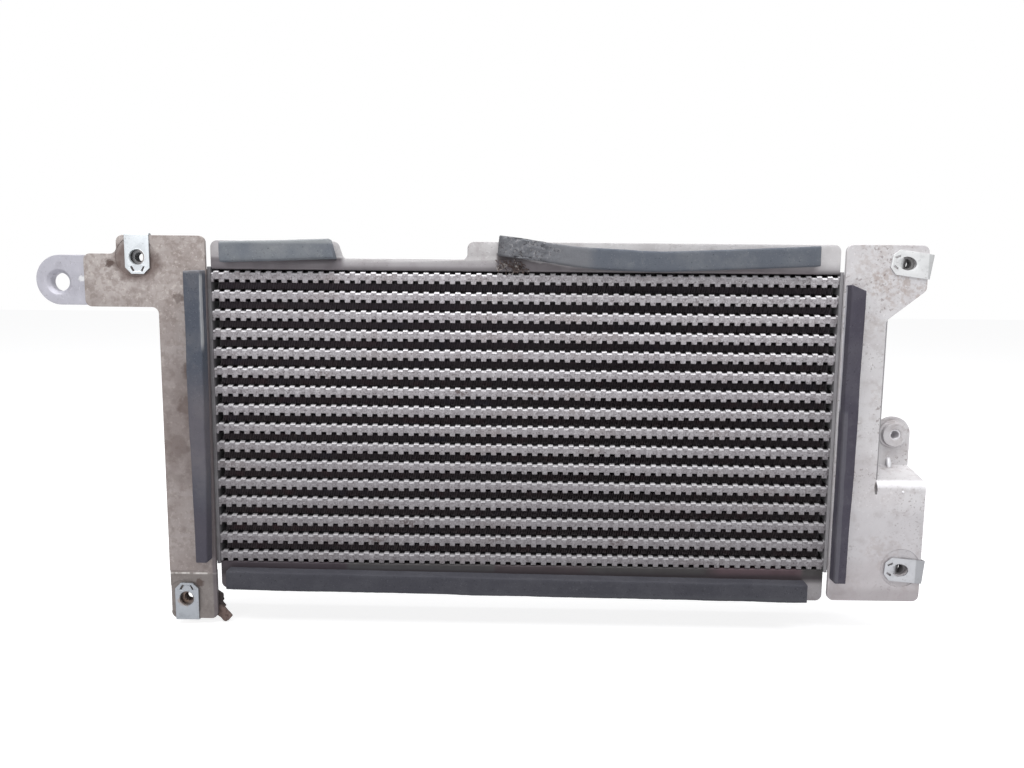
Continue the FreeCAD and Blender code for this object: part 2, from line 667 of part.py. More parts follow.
def make_right_bracket():
    """The right bracket: a plate whose lower lobe is folded back into a rear ear."""
    body = new_body("right_bracket")
    outer = f"({HEADER} + Sizes.right_strip)"
    tab_side = f"({HEADER} + Sizes.right_tab)"
    lobe_side = f"({HEADER} + Sizes.right_lobe)"
    fold_z = "-Sizes.right_lobe_top"
    outline = [
        (HEADER, "-Sizes.right_bottom"),
        (lobe_side, "-Sizes.right_bottom"),
        (lobe_side, fold_z),
        (outer, fold_z),
        (outer, "(Sizes.right_tab_foot - Sizes.right_slope)"),
        (tab_side, "Sizes.right_tab_foot"),
        (tab_side, "Sizes.right_top"),
        (HEADER, "Sizes.right_top"),
    ]
    plate = new_sketch(body, "XZ_Plane", "plate", BRACKET_FRONT)
    draw_outline(plate, outline)
    add_pad(body, plate, "Sizes.bracket_wall", backwards=True)

    flange_start = f"({outer} + Sizes.fold_slit)"
    flange = new_sketch(body, "YZ_Plane", "flange", flange_start)
    front_y = minus(BRACKET_FRONT)
    rear_y = f"({front_y} + Sizes.flange_reach)"
    rear_z = f"({fold_z} + Sizes.flange_rise)"
    draw_outline(flange, [
        (front_y, f"{fold_z} - Sizes.bracket_wall"),
        (front_y, fold_z),
        (rear_y, rear_z),
        (f"{rear_y} + Sizes.bracket_wall", rear_z),
        (f"{rear_y} + Sizes.bracket_wall", f"{rear_z} - Sizes.bracket_wall"),
        (f"{front_y} + Sizes.bracket_wall", f"{fold_z} - Sizes.bracket_wall"),
    ])
    add_pad(body, flange, f"{lobe_side} - {flange_start}")

    ear_front = f"({BRACKET_FRONT} - Sizes.flange_reach)"
    ear_left = f"({lobe_side} - 2 * Sizes.rear_ear_radius)"
    ear_strip = new_sketch(body, "XZ_Plane", "ear_strip", ear_front)
    draw_outline(ear_strip, [
        (ear_left, f"{rear_z} - Sizes.bracket_wall"),
        (lobe_side, f"{rear_z} - Sizes.bracket_wall"),
        (lobe_side, REAR_EAR_Z),
        (ear_left, REAR_EAR_Z),
    ])
    add_pad(body, ear_strip, "Sizes.bracket_wall", backwards=True)
    ear_end = new_sketch(body, "XZ_Plane", "ear_end", ear_front)
    draw_circle(ear_end, (REAR_EAR_X, REAR_EAR_Z), "Sizes.rear_ear_radius")
    add_pad(body, ear_end, "Sizes.bracket_wall", backwards=True)

    slit = new_sketch(body, "XZ_Plane", "slit", BRACKET_FRONT)
    slit_bottom = f"{fold_z} - Sizes.fold_round - Sizes.fold_slit"
    draw_outline(slit, [
        (outer, slit_bottom),
        (flange_start, slit_bottom),
        (flange_start, fold_z),
        (outer, fold_z),
    ])
    add_pocket(body, slit, "Sizes.bracket_wall")

    folds = [
        (front_y, fold_z),
        (f"{rear_y} + Sizes.bracket_wall", f"{rear_z} - Sizes.bracket_wall"),
    ]
    round_edges(body, X_AXIS, folds, "Sizes.fold_round", "folds")
    sheet_corners = [corner for corner in outline if corner[1] != fold_z]
    round_edges(body, Y_AXIS, sheet_corners, "Sizes.bracket_round", "corners")

    low_nut = (BOTTOM_RIGHT_NUT_X, "-Sizes.bottom_right_nut")
    coin_seat(body, "bottom_nut", *low_nut, BRACKET_FRONT)
    drill_nut_hole(body, "bottom_nut", *low_nut, BRACKET_FRONT)
    drill_nut_hole(body, "top_nut", TOP_RIGHT_NUT_X, "Sizes.top_right_nut", BRACKET_FRONT)
    hole = new_sketch(body, "XZ_Plane", "ear_hole", ear_front)
    draw_circle(hole, (REAR_EAR_X, REAR_EAR_Z), "Sizes.rear_ear_bore")
    add_pocket(body, hole, "Sizes.bracket_wall")
    return place(body)


def make_rear_ear_nut():
    """The weld nut on the front of the rear ear, with a barrel through the ear."""
    body = new_body("rear_ear_nut")
    turn_profile(body, [
        ("Sizes.weld_nut_bore", "-Sizes.weld_nut_height"),
        ("Sizes.weld_nut_body", "-Sizes.weld_nut_height"),
        ("Sizes.weld_nut_body", "-Sizes.weld_nut_wall"),
        ("Sizes.weld_nut_flange", "-Sizes.weld_nut_wall"),
        ("Sizes.weld_nut_flange", SEAT),
        ("Sizes.weld_nut_barrel", SEAT),
        ("Sizes.weld_nut_barrel", "Sizes.barrel_length"),
        ("Sizes.weld_nut_bore", "Sizes.barrel_length"),
    ])
    ear_front = f"Sizes.flange_reach - {BRACKET_FRONT}"
    return place(body, x=REAR_EAR_X, y=ear_front, z=REAR_EAR_Z)


def make_clip_nut(label, x, z, turn, front):
    """A spring clip nut, folded over a bracket edge, with its fold at the top."""
    body = new_body(label)
    outer_rear = "(Sizes.bracket_wall + Sizes.nut_wall)"
    fold_top = "(Sizes.nut_edge + Sizes.nut_wall)"
    side = new_sketch(body, "YZ_Plane", "side", "-Sizes.nut_width / 2")
    draw_outline(side, [
        ("-Sizes.nut_wall", "-Sizes.nut_leaf"),
        ("-Sizes.nut_wall", fold_top),
        (outer_rear, fold_top),
        (outer_rear, "-Sizes.nut_rear_leaf"),
        ("Sizes.bracket_wall", "-Sizes.nut_rear_leaf"),
        ("Sizes.bracket_wall", "Sizes.nut_edge"),
        (SEAT, "Sizes.nut_edge"),
        (SEAT, "-Sizes.nut_leaf"),
    ])
    add_pad(body, side, "Sizes.nut_width")
    folds = [("-Sizes.nut_wall", fold_top), (outer_rear, fold_top)]
    round_edges(body, X_AXIS, folds, "Sizes.nut_bend", "folds")

    folded = body.Tip
    half_width = measure("Sizes.nut_width / 2")
    leaf_end = measure("-Sizes.nut_leaf")
    corners = edges_along(folded, Y_AXIS, [(half_width, leaf_end), (-half_width, leaf_end)])
    cut = body.newObject("PartDesign::Chamfer", f"{label}_corners")
    cut.Base = (folded, corners)
    cut.setExpression("Size", "Sizes.nut_chamfer")
    doc.recompute()

    hole = new_sketch(body, "XZ_Plane", "hole", "Sizes.nut_wall")
    draw_circle(hole, CENTRE, "Sizes.nut_hole")
    add_pocket(body, hole, "Sizes.nut_wall")
    bore = new_sketch(body, "XZ_Plane", "bore", "-Sizes.bracket_wall")
    draw_circle(bore, CENTRE, "Sizes.nut_bore")
    add_pocket(body, bore, "Sizes.nut_wall")
    return place(body, x=x, y=minus(front), z=z, turn=turn)


def make_foam(label, back, corners):
    """A strip of foam whose rear face is glued to a face at the given depth."""
    body = new_body(label)
    strip = new_sketch(body, "XZ_Plane", "strip", f"{back} + Sizes.foam_thick")
    draw_outline(strip, corners)
    add_pad(body, strip, "Sizes.foam_thick", backwards=True)
    return place(body)


def make_foam_strips():
    inner = f"({HEADER} + Sizes.foam_inset)"
    left_outer = f"({inner} + Sizes.left_foam_width)"
    make_foam("left_foam_strip", BRACKET_FRONT, [
        (minus(left_outer), "-Sizes.left_foam_bottom"),
        (minus(inner), "-Sizes.left_foam_bottom"),
        (minus(inner), "Sizes.left_foam_top"),
        (minus(left_outer), "Sizes.left_foam_top"),
    ])
    right_outer = f"({inner} + Sizes.right_foam_width)"
    make_foam("right_foam_strip", BRACKET_FRONT, [
        (inner, "-Sizes.right_foam_bottom"),
        (right_outer, "-Sizes.right_foam_bottom"),
        (right_outer, "Sizes.right_foam_top"),
        (inner, "(Sizes.right_foam_top + Sizes.foam_slant)"),
    ])

    lift = f"({STACK} + Sizes.top_left_foam_lift)"
    risen = f"({lift} + Sizes.top_left_foam_rise)"
    start = f"(Sizes.top_left_foam_start - {HALF_CORE})"
    end = f"({start} + Sizes.top_left_foam_length)"
    make_foam("top_left_foam_strip", HALF_DEPTH, [
        (start, lift),
        (f"{end} + Sizes.foam_slant", risen),
        (end, f"{risen} + Sizes.foam_height"),
        (start, f"{lift} + Sizes.foam_height"),
    ])

    tab_start = f"({HALF_CORE} - Sizes.right_tab_length)"
    peel_start = f"({tab_start} + Sizes.top_right_foam_start)"
    strip_end = f"({HALF_CORE} - Sizes.top_right_foam_end)"
    peel_end = f"({peel_start} + Sizes.foam_peel_length)"
    dip = f"({STACK} + Sizes.foam_dip)"
    raised = f"({STACK} + Sizes.foam_peel)"
    right_end = f"({STACK} + Sizes.foam_end_lift)"
    make_foam("top_right_foam_strip", HALF_DEPTH, [
        (peel_start, raised),
        (peel_end, dip),
        (strip_end, right_end),
        (strip_end, f"{right_end} + Sizes.foam_height"),
        (peel_end, f"{dip} + Sizes.foam_height"),
        (peel_start, f"{raised} + Sizes.foam_height"),
    ])

    left_top = minus(f"{STACK} + Sizes.bottom_foam_drop")
    right_top = f"({left_top} - Sizes.bottom_foam_fall)"
    left_end = f"(Sizes.bottom_foam_start - {HALF_CORE})"
    right_end = f"({HALF_CORE} - Sizes.bottom_foam_end)"
    make_foam("bottom_foam_strip", HALF_DEPTH, [
        (left_end, f"{left_top} - Sizes.foam_height"),
        (right_end, f"{right_top} - Sizes.foam_height"),
        (right_end, right_top),
        (left_end, left_top),
    ])


tube = place(make_tube(), z=row_height(1))
for number in range(2, int(measure("Sizes.row_count")) + 1):
    place(make_tube_copy(tube, number), z=row_height(number))
for number in range(1, int(measure("Sizes.row_count"))):
    make_air_fin(number)

make_header_plate("left", minus(HEADER))
make_header_plate("right", HALF_CORE)
make_tank("left", "-", "Sizes.pipe_rise")
make_tank("right", "", "-Sizes.pipe_rise")
for side, sign in (("left", "-"), ("right", "")):
    make_tank_cap(side, "top", sign, f"{STACK} - Sizes.cap_wall")
    make_tank_cap(side, "bottom", sign, minus(STACK))
make_pipe("inlet_pipe", f"-{PIPE_X}", "Sizes.pipe_rise")
make_pipe("outlet_pipe", PIPE_X, "-Sizes.pipe_rise")

make_top_side_plate()
make_bottom_side_plate()
make_left_bracket()
make_left_ear()
make_right_bracket()
make_rear_ear_nut()

make_clip_nut("top_left_clip_nut", minus(TOP_LEFT_NUT_X), TOP_LEFT_NUT_Z, "0", BRACKET_FRONT)
make_clip_nut(
    "bottom_left_clip_nut", minus(BOTTOM_LEFT_NUT_X), BOTTOM_LEFT_NUT_Z, "180",
    f"{BRACKET_FRONT} - Sizes.foot_step",
)
make_clip_nut(
    "top_right_clip_nut", TOP_RIGHT_NUT_X, "Sizes.top_right_nut",
    "90 + Sizes.top_right_tilt", BRACKET_FRONT,
)
make_clip_nut(
    "bottom_right_clip_nut", BOTTOM_RIGHT_NUT_X, "-Sizes.bottom_right_nut",
    "90 + Sizes.bottom_right_tilt", BRACKET_FRONT,
)
make_foam_strips()
doc.recompute()

for item in doc.Objects:
    if "Invalid" in item.State or "Error" in item.State:
        raise RuntimeError(f"{item.Name} failed: {item.State}")
for piece in parts:
    if piece.Shape.isNull() or not piece.Shape.isValid():
        raise RuntimeError(f"{piece.Label} has no valid shape")

os.makedirs("parts", exist_ok=True)
for piece in parts:
    piece.Shape.exportStep(f"parts/{piece.Label}.step")
print(f"{len(parts)} pieces written")
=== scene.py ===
# %% [markdown]
# # Fuel cooler: the visual model
# The CAD model holds every piece at its real size. This lesson gives those pieces
# their looks: true castellated tubes, folded fins, worn foam, clip nuts of bent
# sheet, and a finish for every surface. Everything stays in the frame of the CAD
# model, in metres. Noise bends the foam and the nuts, and its seed is set here, or
# else each run would bend them in another way.

import math
import random
from contextlib import contextmanager

import bmesh
import bpy
from mathutils import Matrix, Vector, noise


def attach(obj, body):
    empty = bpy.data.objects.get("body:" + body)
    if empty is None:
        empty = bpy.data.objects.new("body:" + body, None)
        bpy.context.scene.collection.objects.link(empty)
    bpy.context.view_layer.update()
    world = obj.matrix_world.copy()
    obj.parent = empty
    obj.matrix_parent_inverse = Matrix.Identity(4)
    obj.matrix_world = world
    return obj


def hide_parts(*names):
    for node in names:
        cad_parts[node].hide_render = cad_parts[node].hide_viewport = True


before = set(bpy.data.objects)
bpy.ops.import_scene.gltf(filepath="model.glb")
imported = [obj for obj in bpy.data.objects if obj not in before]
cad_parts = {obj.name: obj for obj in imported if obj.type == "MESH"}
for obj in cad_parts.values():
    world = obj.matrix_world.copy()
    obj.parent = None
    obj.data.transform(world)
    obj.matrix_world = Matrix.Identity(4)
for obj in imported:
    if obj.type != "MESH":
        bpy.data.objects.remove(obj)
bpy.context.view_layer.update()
noise.seed_set(1)
print("nodes in the frame:", len(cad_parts))

# %% [markdown]
# The cooler is easiest to describe from the middle of its core, in millimetres:
# X along the tubes, Y to the rear, Z up. The frame has its origin in the left ear
# hole, so one small function carries a point over.

# %% Places in millimetres from the core centre
EAR_TO_CENTRE = Vector((279.5, 10.5, -82.0))


def at(x, y, z):
    """A point given in millimetres from the core centre, in metres in the frame."""
    return (Vector((x, y, z)) + EAR_TO_CENTRE) / 1000


CORE_HALF = 187.5
CORE_FRONT = -16.0
BRACKET_FRONT = -19.5
HEADER = 189.5
ROWS = 16
ROW_PITCH = 11.55
BAND = 7.77
print("core centre at", tuple(round(value, 4) for value in at(0, 0, 0)))

# %% [markdown]
# A few small tools serve all steps: they make a mesh from points, join rows of
# points with faces, open a mesh for editing, and hand a finished piece over.

# %% Tools for meshes and pieces
def new_piece(name, mesh, material=None):
    """An object for a finished mesh, at the origin of the frame."""
    piece = bpy.data.objects.new(name, mesh)
    bpy.context.collection.objects.link(piece)
    if material is not None:
        mesh.materials.clear()
        mesh.materials.append(material)
    return piece


def plain_mesh(name, points, faces):
    """A mesh from points as they are."""
    mesh = bpy.data.meshes.new(name)
    mesh.from_pydata(points, [], faces)
    return mesh


def mesh_from(name, points, faces):
    """A mesh from points in millimetres about the core centre."""
    mesh = plain_mesh(name, [at(*point) for point in points], faces)
    mesh.validate()
    return mesh


def band(first, second, size):
    """Faces between two closed rows of points, given by the number of their first point."""
    return [(first + index, first + (index + 1) % size, second + (index + 1) % size, second + index)
            for index in range(size)]


@contextmanager
def editing(mesh):
    """The mesh, open for editing, and written back afterwards."""
    work = bmesh.new()
    work.from_mesh(mesh)
    yield work
    work.to_mesh(mesh)
    work.free()


def everything(work):
    """All that a cut through an open mesh can meet."""
    return work.verts[:] + work.edges[:] + work.faces[:]


def outward(mesh, merge=1e-6):
    """Merge doubles and point all faces outwards."""
    with editing(mesh) as work:
        bmesh.ops.remove_doubles(work, verts=work.verts, dist=merge)
        bmesh.ops.recalc_face_normals(work, faces=work.faces)


def smooth(mesh, degrees=35):
    """Shade soft, but keep edges that bend more than the angle."""
    mesh.polygons.foreach_set("use_smooth", [True] * len(mesh.polygons))
    mesh.set_sharp_from_angle(angle=math.radians(degrees))
    mesh.update()


def evaluated_mesh(thing):
    """The mesh that modifiers or curve settings give an object."""
    bpy.context.view_layer.update()
    return bpy.data.meshes.new_from_object(thing.evaluated_get(bpy.context.evaluated_depsgraph_get()))


def stands_for(piece, slot, *nodes):
    """The piece rides on the body and replaces CAD nodes; the slot is not used."""
    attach(piece, "root")
    if nodes:
        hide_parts(*nodes)
    return piece


def put(socket, value):
    """Link a socket, or set it where the value is plain."""
    if isinstance(value, bpy.types.NodeSocket):
        socket.id_data.links.new(value, socket)
    else:
        socket.default_value = value


def node_adder(tree):
    """A function that adds a node to a tree: its kind, its inputs and its settings."""
    def add(kind, inputs=None, **settings):
        made = tree.nodes.new(kind)
        for key, value in settings.items():
            setattr(made, key, value)
        for key, value in (inputs or {}).items():
            put(made.inputs[key], value)
        return made
    return add


print("tools ready")

# %% [markdown]
# ## Finishes
# Every surface here is old metal or foam: a plain colour, then dust, stains,
# scuffs and a little relief on top. A finish could be painted as an image, but
# procedural layers stay sharp at any distance. So a finish is built like the real
# one, as a base and a stack of layers, and each layer is a mask and a colour.
# All patterns read Object coordinates, so they keep their place on the piece.

# %% A finish that is built up in layers
def paint(red, green, blue):
    """A colour given as screen values from 0 to 255, as linear light."""
    def linear(value):
        value = value / 255
        return value / 12.92 if value <= 0.04045 else ((value + 0.055) / 1.055) ** 2.4
    return (linear(red), linear(green), linear(blue), 1.0)


def shade(colour, change):
    """A colour, lighter or darker by the same step in each part."""
    return tuple(value + change for value in colour)


class Finish:
    """A material made of a bare surface and layers on top of it."""

    def __init__(self, name, colour, roughness, metallic=0.0):
        self.material = bpy.data.materials.new(name)
        self.material.use_nodes = True
        self.material.node_tree.nodes.clear()
        self.node = node_adder(self.material.node_tree)
        self.shader = self.node("ShaderNodeBsdfPrincipled", {"Metallic": metallic})
        self.node("ShaderNodeOutputMaterial", {"Surface": self.shader.outputs[0]})
        self.place = self.node("ShaderNodeTexCoord").outputs["Object"]
        self.colour = paint(*colour)
        self.roughness = roughness
        self.relief = None
        self.material.diffuse_color = self.colour

    def math(self, operation, first, second=0.0, clamp=False):
        return self.node("ShaderNodeMath", {0: first, 1: second},
                         operation=operation, use_clamp=clamp).outputs[0]

    def vector_math(self, operation, *values):
        return self.node("ShaderNodeVectorMath", dict(enumerate(values)), operation=operation).outputs

    def both(self, first, second):
        """The part that two masks share."""
        return self.math("MULTIPLY", first, second)

    def without(self, mask):
        """All that a mask leaves out."""
        return self.math("SUBTRACT", 1.0, mask)

    def steps(self, value, low, high):
        """Nought below the low value and one above the high value, soft between."""
        return self.node("ShaderNodeMapRange", {"Value": value, "From Min": low, "From Max": high},
                         interpolation_type="SMOOTHSTEP").outputs["Result"]

    def split(self, vector=None):
        """The X, Y and Z of a vector, or else of the place on the piece."""
        return self.node("ShaderNodeSeparateXYZ", {0: self.place if vector is None else vector}).outputs

    def facing(self):
        """The X, Y and Z of the way that a face looks."""
        return self.split(self.node("ShaderNodeNewGeometry").outputs["True Normal"])

    def grain(self, size, detail=3.0, seed=0, stretch=(1, 1, 1)):
        """Cloudy noise whose patches measure about the size in millimetres."""
        away = (seed * 0.37, seed * 0.71, seed * 0.53)
        return self.node("ShaderNodeTexNoise", {
            "Vector": self.vector_math("MULTIPLY_ADD", self.place, stretch, away)[0],
            "Scale": 1000 / size, "Detail": detail, "Roughness": 0.55}).outputs["Fac"]

    def clouds(self, size, detail, seed, low, high, stretch=(1, 1, 1)):
        """A mask of noise patches: nought below the low value, one above the high one."""
        return self.steps(self.grain(size, detail, seed, stretch), low, high)

    def along(self, axis, low, high, *more):
        """A mask that grows along an axis, from low to high millimetres, within more of them."""
        index = "XYZ".index(axis)
        start, end = at(low, low, low)[index], at(high, high, high)[index]
        value = self.split()[index]
        mask = self.steps(value, min(start, end), max(start, end))
        if start > end:
            mask = self.without(mask)
        return self.both(mask, self.along(*more)) if more else mask

    def below(self, start, end, soft=1.5):
        """A mask under the line from one place in X and Z to another, no wider than it."""
        here = self.split()
        first, last = at(start[0], 0, start[1]), at(end[0], 0, end[1])
        slope = (last.z - first.z) / (last.x - first.x)
        run = self.math("MULTIPLY", self.math("SUBTRACT", here["X"], first.x), slope)
        drop = self.math("SUBTRACT", self.math("ADD", run, first.z), here["Z"])
        wobble = self.math("MULTIPLY", self.grain(6, 4, 5), 0.003)
        under = self.steps(self.math("SUBTRACT", drop, wobble), -0.002, soft / 1000 - 0.002)
        return self.both(under, self.along("X", start[0] - 1, start[0] + 1, "X", end[0] + 6, end[0] - 6))

    def spot(self, centre, radius, ragged=0.35, stretch=(1, 1, 1)):
        """A mask round a point, in millimetres, with a ragged soft edge."""
        away = self.vector_math("SUBTRACT", self.place, at(*centre))[0]
        length = self.vector_math("LENGTH", self.vector_math("MULTIPLY", away, stretch)[0])["Value"]
        wobble = self.grain(radius * 0.7, 4.0, int(abs(centre[0])) % 17)
        reach = self.math("ADD", self.math("MULTIPLY", length, 1000 / radius),
                          self.math("MULTIPLY", wobble, 2 * ragged))
        return self.without(self.steps(reach, 0.55 + ragged, 1.0 + ragged))

    def layer(self, mask, colour, strength=1.0):
        """Cover the colour so far where the mask is one. A tuple is short for clouds or along."""
        if isinstance(mask, tuple):
            mask = self.along(*mask) if isinstance(mask[0], str) else self.clouds(*mask)
        self.colour = self.node("ShaderNodeMix", {
            "Factor": self.math("MULTIPLY", mask, strength), 6: self.colour, 7: paint(*colour),
        }, data_type="RGBA").outputs[2]

    def layers(self, *rows):
        """Lay several layers over each other, each a mask, a colour and a strength."""
        for row in rows:
            self.layer(*row)

    def dull(self, mask, roughness):
        """Change the roughness where the mask is one."""
        self.roughness = self.node("ShaderNodeMix", {0: mask, 2: self.roughness, 3: roughness},
                                   data_type="FLOAT").outputs[0]

    def raised(self, height, depth):
        """Add relief: a height from nought to one, as deep as given in millimetres."""
        bump = self.node("ShaderNodeBump", {"Strength": 1.0, "Distance": depth / 1000, "Height": height})
        if self.relief is not None:
            put(bump.inputs["Normal"], self.relief)
        self.relief = bump.outputs["Normal"]

    def done(self):
        """Join the layers to the shader."""
        put(self.shader.inputs["Base Color"], self.colour)
        put(self.shader.inputs["Roughness"], self.roughness)
        if self.relief is not None:
            put(self.shader.inputs["Normal"], self.relief)
        return self.material


print("finish builder ready")

# %% [markdown]
# ## The tubes
# Each of the sixteen flat tubes has castellated front and rear edges: columns of
# one height stand alternately a little higher and a little lower, and the upper
# edges are rolled back, which is what catches the light. One period, with a low
# and a high column, is a short loft between matching outlines. Geometry Nodes
# repeat it along the tube and down the core, weld the repeats into one skin and
# shift them a little with noise, because no real row is perfectly straight.

# %% A grid of one small shape
def grid_tree(name):
    """Geometry Nodes that repeat a shape in columns and rows and weld the result."""
    tree = bpy.data.node_groups.new(name, "GeometryNodeTree")
    tree.interface.new_socket("Geometry", in_out="OUTPUT", socket_type="NodeSocketGeometry")
    for label, kind in (
        ("Shape", "Object"), ("Start", "Vector"), ("Columns", "Int"), ("Column Pitch", "Float"),
        ("Rows", "Int"), ("Row Pitch", "Float"), ("Wobble", "Vector"), ("Wobble Scale", "Float"),
        ("Seed", "Float"), ("Material", "Material"),
    ):
        tree.interface.new_socket(label, in_out="INPUT", socket_type=f"NodeSocket{kind}")
    add = node_adder(tree)
    given = add("NodeGroupInput").outputs
    downwards = add("ShaderNodeMath", {0: given["Row Pitch"], 1: -1.0}, operation="MULTIPLY")
    geometry = add("GeometryNodeObjectInfo", {"Object": given["Shape"]}).outputs["Geometry"]
    for count, axis, pitch, start in (
        ("Columns", "X", given["Column Pitch"], given["Start"]),
        ("Rows", "Z", downwards.outputs[0], (0, 0, 0)),
    ):
        step = add("ShaderNodeCombineXYZ", {axis: pitch})
        line = add("GeometryNodeMeshLine", {
            "Count": given[count], "Start Location": start, "Offset": step.outputs[0]})
        repeat = add("GeometryNodeInstanceOnPoints", {"Points": line.outputs[0], "Instance": geometry})
        real = add("GeometryNodeRealizeInstances", {0: repeat.outputs[0]})
        geometry = add("GeometryNodeMergeByDistance", {0: real.outputs[0], "Distance": 1e-5}).outputs[0]
    wave = add("ShaderNodeTexNoise", {
        "Vector": add("GeometryNodeInputPosition").outputs[0], "W": given["Seed"],
        "Scale": given["Wobble Scale"]}, noise_dimensions="4D")
    centred = add("ShaderNodeVectorMath", {0: wave.outputs["Color"], 1: (0.5, 0.5, 0.5)},
                  operation="SUBTRACT")
    shift = add("ShaderNodeVectorMath", {0: centred.outputs[0], 1: given["Wobble"]}, operation="MULTIPLY")
    moved = add("GeometryNodeSetPosition", {"Geometry": geometry, "Offset": shift.outputs[0]})
    whole = add("GeometryNodeRealizeInstances", {0: moved.outputs[0]})
    finish = add("GeometryNodeSetMaterial", {"Geometry": whole.outputs[0], "Material": given["Material"]})
    add("NodeGroupOutput", {0: finish.outputs[0]})
    return tree


def grown(name, tree, values):
    """Run a node tree on an empty mesh and keep the result as a plain mesh."""
    host = bpy.data.objects.new(name + "_host", bpy.data.meshes.new(name + "_host"))
    bpy.context.collection.objects.link(host)
    modifier = host.modifiers.new("grow", "NODES")
    modifier.node_group = tree
    for item in tree.interface.items_tree:
        if item.item_type == "SOCKET" and item.in_out == "INPUT":
            modifier[item.identifier] = values[item.name]
    mesh = evaluated_mesh(host)
    mesh.name = name
    bpy.data.objects.remove(host)
    return mesh


repeat_grid = grid_tree("repeat_in_a_grid")
print("node tree:", len(repeat_grid.nodes), "nodes")


# %% One period of a tube
def half_and_mirror(front):
    """A closed outline in Y and Z from its front half, listed from foot to top."""
    return front + [(-y, z) for y, z in reversed(front)]


TOOTH_PITCH = 6.32
FIRST_COLUMN = -189.34
LOW_COLUMN = half_and_mirror([
    (-9.0, -3.885), (-14.6, -3.885), (-15.75, -3.885), (-16.0, -3.6), (-16.0, 1.0),
    (-15.6, 1.75), (-14.8, 2.1), (-9.0, 2.2), (-8.6, 3.885),
])
HIGH_COLUMN = half_and_mirror([
    (-9.0, -3.885), (-9.0, -2.115), (-15.6, -2.115), (-15.85, -1.85), (-15.88, 2.1),
    (-15.5, 2.7), (-14.7, 3.0), (-9.4, 3.84), (-8.6, 3.885),
])


def loft(name, stations):
    """A skin through outlines with equal numbers of points, each at its own X."""
    points = [Vector((x, y, z)) / 1000 for x, outline in stations for y, z in outline]
    size = len(stations[0][1])
    faces = []
    for station in range(len(stations) - 1):
        faces += band(station * size, (station + 1) * size, size)
    return plain_mesh(name, points, faces)


step = 0.12
half_pitch = TOOTH_PITCH / 2
period = loft("tube_period", [
    (step, LOW_COLUMN), (half_pitch - step, LOW_COLUMN),
    (half_pitch + step, HIGH_COLUMN), (TOOTH_PITCH - step, HIGH_COLUMN),
    (TOOTH_PITCH + step, LOW_COLUMN),
])
period_shape = new_piece("tube_period_shape", period)
print("tube period:", round(TOOTH_PITCH, 3), "mm,", len(period.polygons), "faces")

# %% [markdown]
# The tubes are raw aluminium, dusty on their faces. Faces that look upwards,
# above all the rolled edges, get a painted highlight, and the side walls,
# undersides and depths of the notches where the air passes get painted shade.
# That shade depends on depth, so its mask follows Y. The mottling is two sizes of
# noise, and a few darker, browner places are spots.

# %% The finish of the tubes
tubes = Finish("toothed_tube_aluminium", (168, 164, 168), 0.4, metallic=0.35)
tubes.layers(
    ((3.2, 4, 3, 0.42, 0.66), (134, 128, 132), 0.75), ((24, 3, 8, 0.5, 0.72), (144, 134, 133), 0.5),
    ((0.9, 2, 5, 0.54, 0.66), (204, 202, 206), 0.6), ((1.2, 2, 11, 0.55, 0.68), (88, 80, 83), 0.65),
)
for x, z, radius in (
    (-90, -72, 7), (-70, -66, 5), (-13, -71, 8), (-15, -82, 5),
    (-38, 18, 5), (8, 20, 6), (60, -74, 5), (-120, 24, 6),
):
    brown = tubes.spot((x, CORE_FRONT, z), radius, 0.9, (0.8, 0.2, 1.2))
    tubes.layer(tubes.both(brown, tubes.clouds(1.6, 4, 6, 0.4, 0.6)), (78, 58, 52), 0.75)
# Painted light: a painted highlight on faces that look upwards, and painted shade on side walls, undersides
# and the depths of the notches.
facing = tubes.facing()
side_walls = tubes.steps(tubes.math("ABSOLUTE", facing["X"]), 0.5, 0.8)
under_edges = tubes.steps(facing["Z"], -0.1, -0.6)
deep = tubes.along("Y", -15.2, -14.0, "Y", 15.2, 14.0)
tubes.layers(
    (tubes.steps(facing["Z"], 0.12, 0.6), (236, 235, 238), 0.8),
    (tubes.both(side_walls, deep), (34, 28, 31), 0.95),
    (("Y", -14.4, -13.2, "Y", 14.4, 13.2), (38, 31, 34), 0.96),
    (tubes.both(under_edges, deep), (40, 33, 36), 0.9),
    # Painted shade: the tubes are darker towards the bottom and a little towards the left, where less light
    # falls.
    (("Z", 125, -125), (58, 54, 58), 0.58), (("X", 187, -187), (58, 54, 58), 0.1),
)
tubes.dull(tubes.grain(2.0, 3, 7), 0.62)
tubes.raised(tubes.grain(0.8, 3, 2), 0.12)
tube_finish = tubes.done()
print("finish:", tube_finish.name, len(tube_finish.node_tree.nodes), "nodes")

# %% All tubes in one skin
tube_mesh = grown("toothed_tubes", repeat_grid, {
    "Shape": period_shape, "Start": at(FIRST_COLUMN, 0, (ROWS - 1) / 2 * ROW_PITCH),
    "Columns": 60, "Column Pitch": TOOTH_PITCH / 1000,
    "Rows": ROWS, "Row Pitch": ROW_PITCH / 1000,
    "Wobble": (0.0003, 0.0004, 0.0004), "Wobble Scale": 110.0, "Seed": 4.0,
    "Material": tube_finish,
})


def cut_ends(mesh, half_length):
    """Cut a skin at both ends of the core and close the cuts."""
    with editing(mesh) as work:
        for sign in (-1, 1):
            cut = bmesh.ops.bisect_plane(work, geom=everything(work), plane_co=at(sign * half_length, 0, 0),
                                         plane_no=(sign, 0, 0), clear_outer=True)
            rim = [item for item in cut["geom_cut"] if isinstance(item, bmesh.types.BMEdge)]
            bmesh.ops.edgeloop_fill(work, edges=rim)
        bmesh.ops.recalc_face_normals(work, faces=work.faces)


cut_ends(tube_mesh, CORE_HALF + 0.6)
smooth(tube_mesh, 28)
toothed_tubes = new_piece("toothed_tubes", tube_mesh)
bpy.data.objects.remove(period_shape)
stands_for(toothed_tubes, "tube_aluminium", *[f"tube_{row:02d}" for row in range(1, ROWS + 1)])
print("tubes:", len(tube_mesh.polygons), "faces")

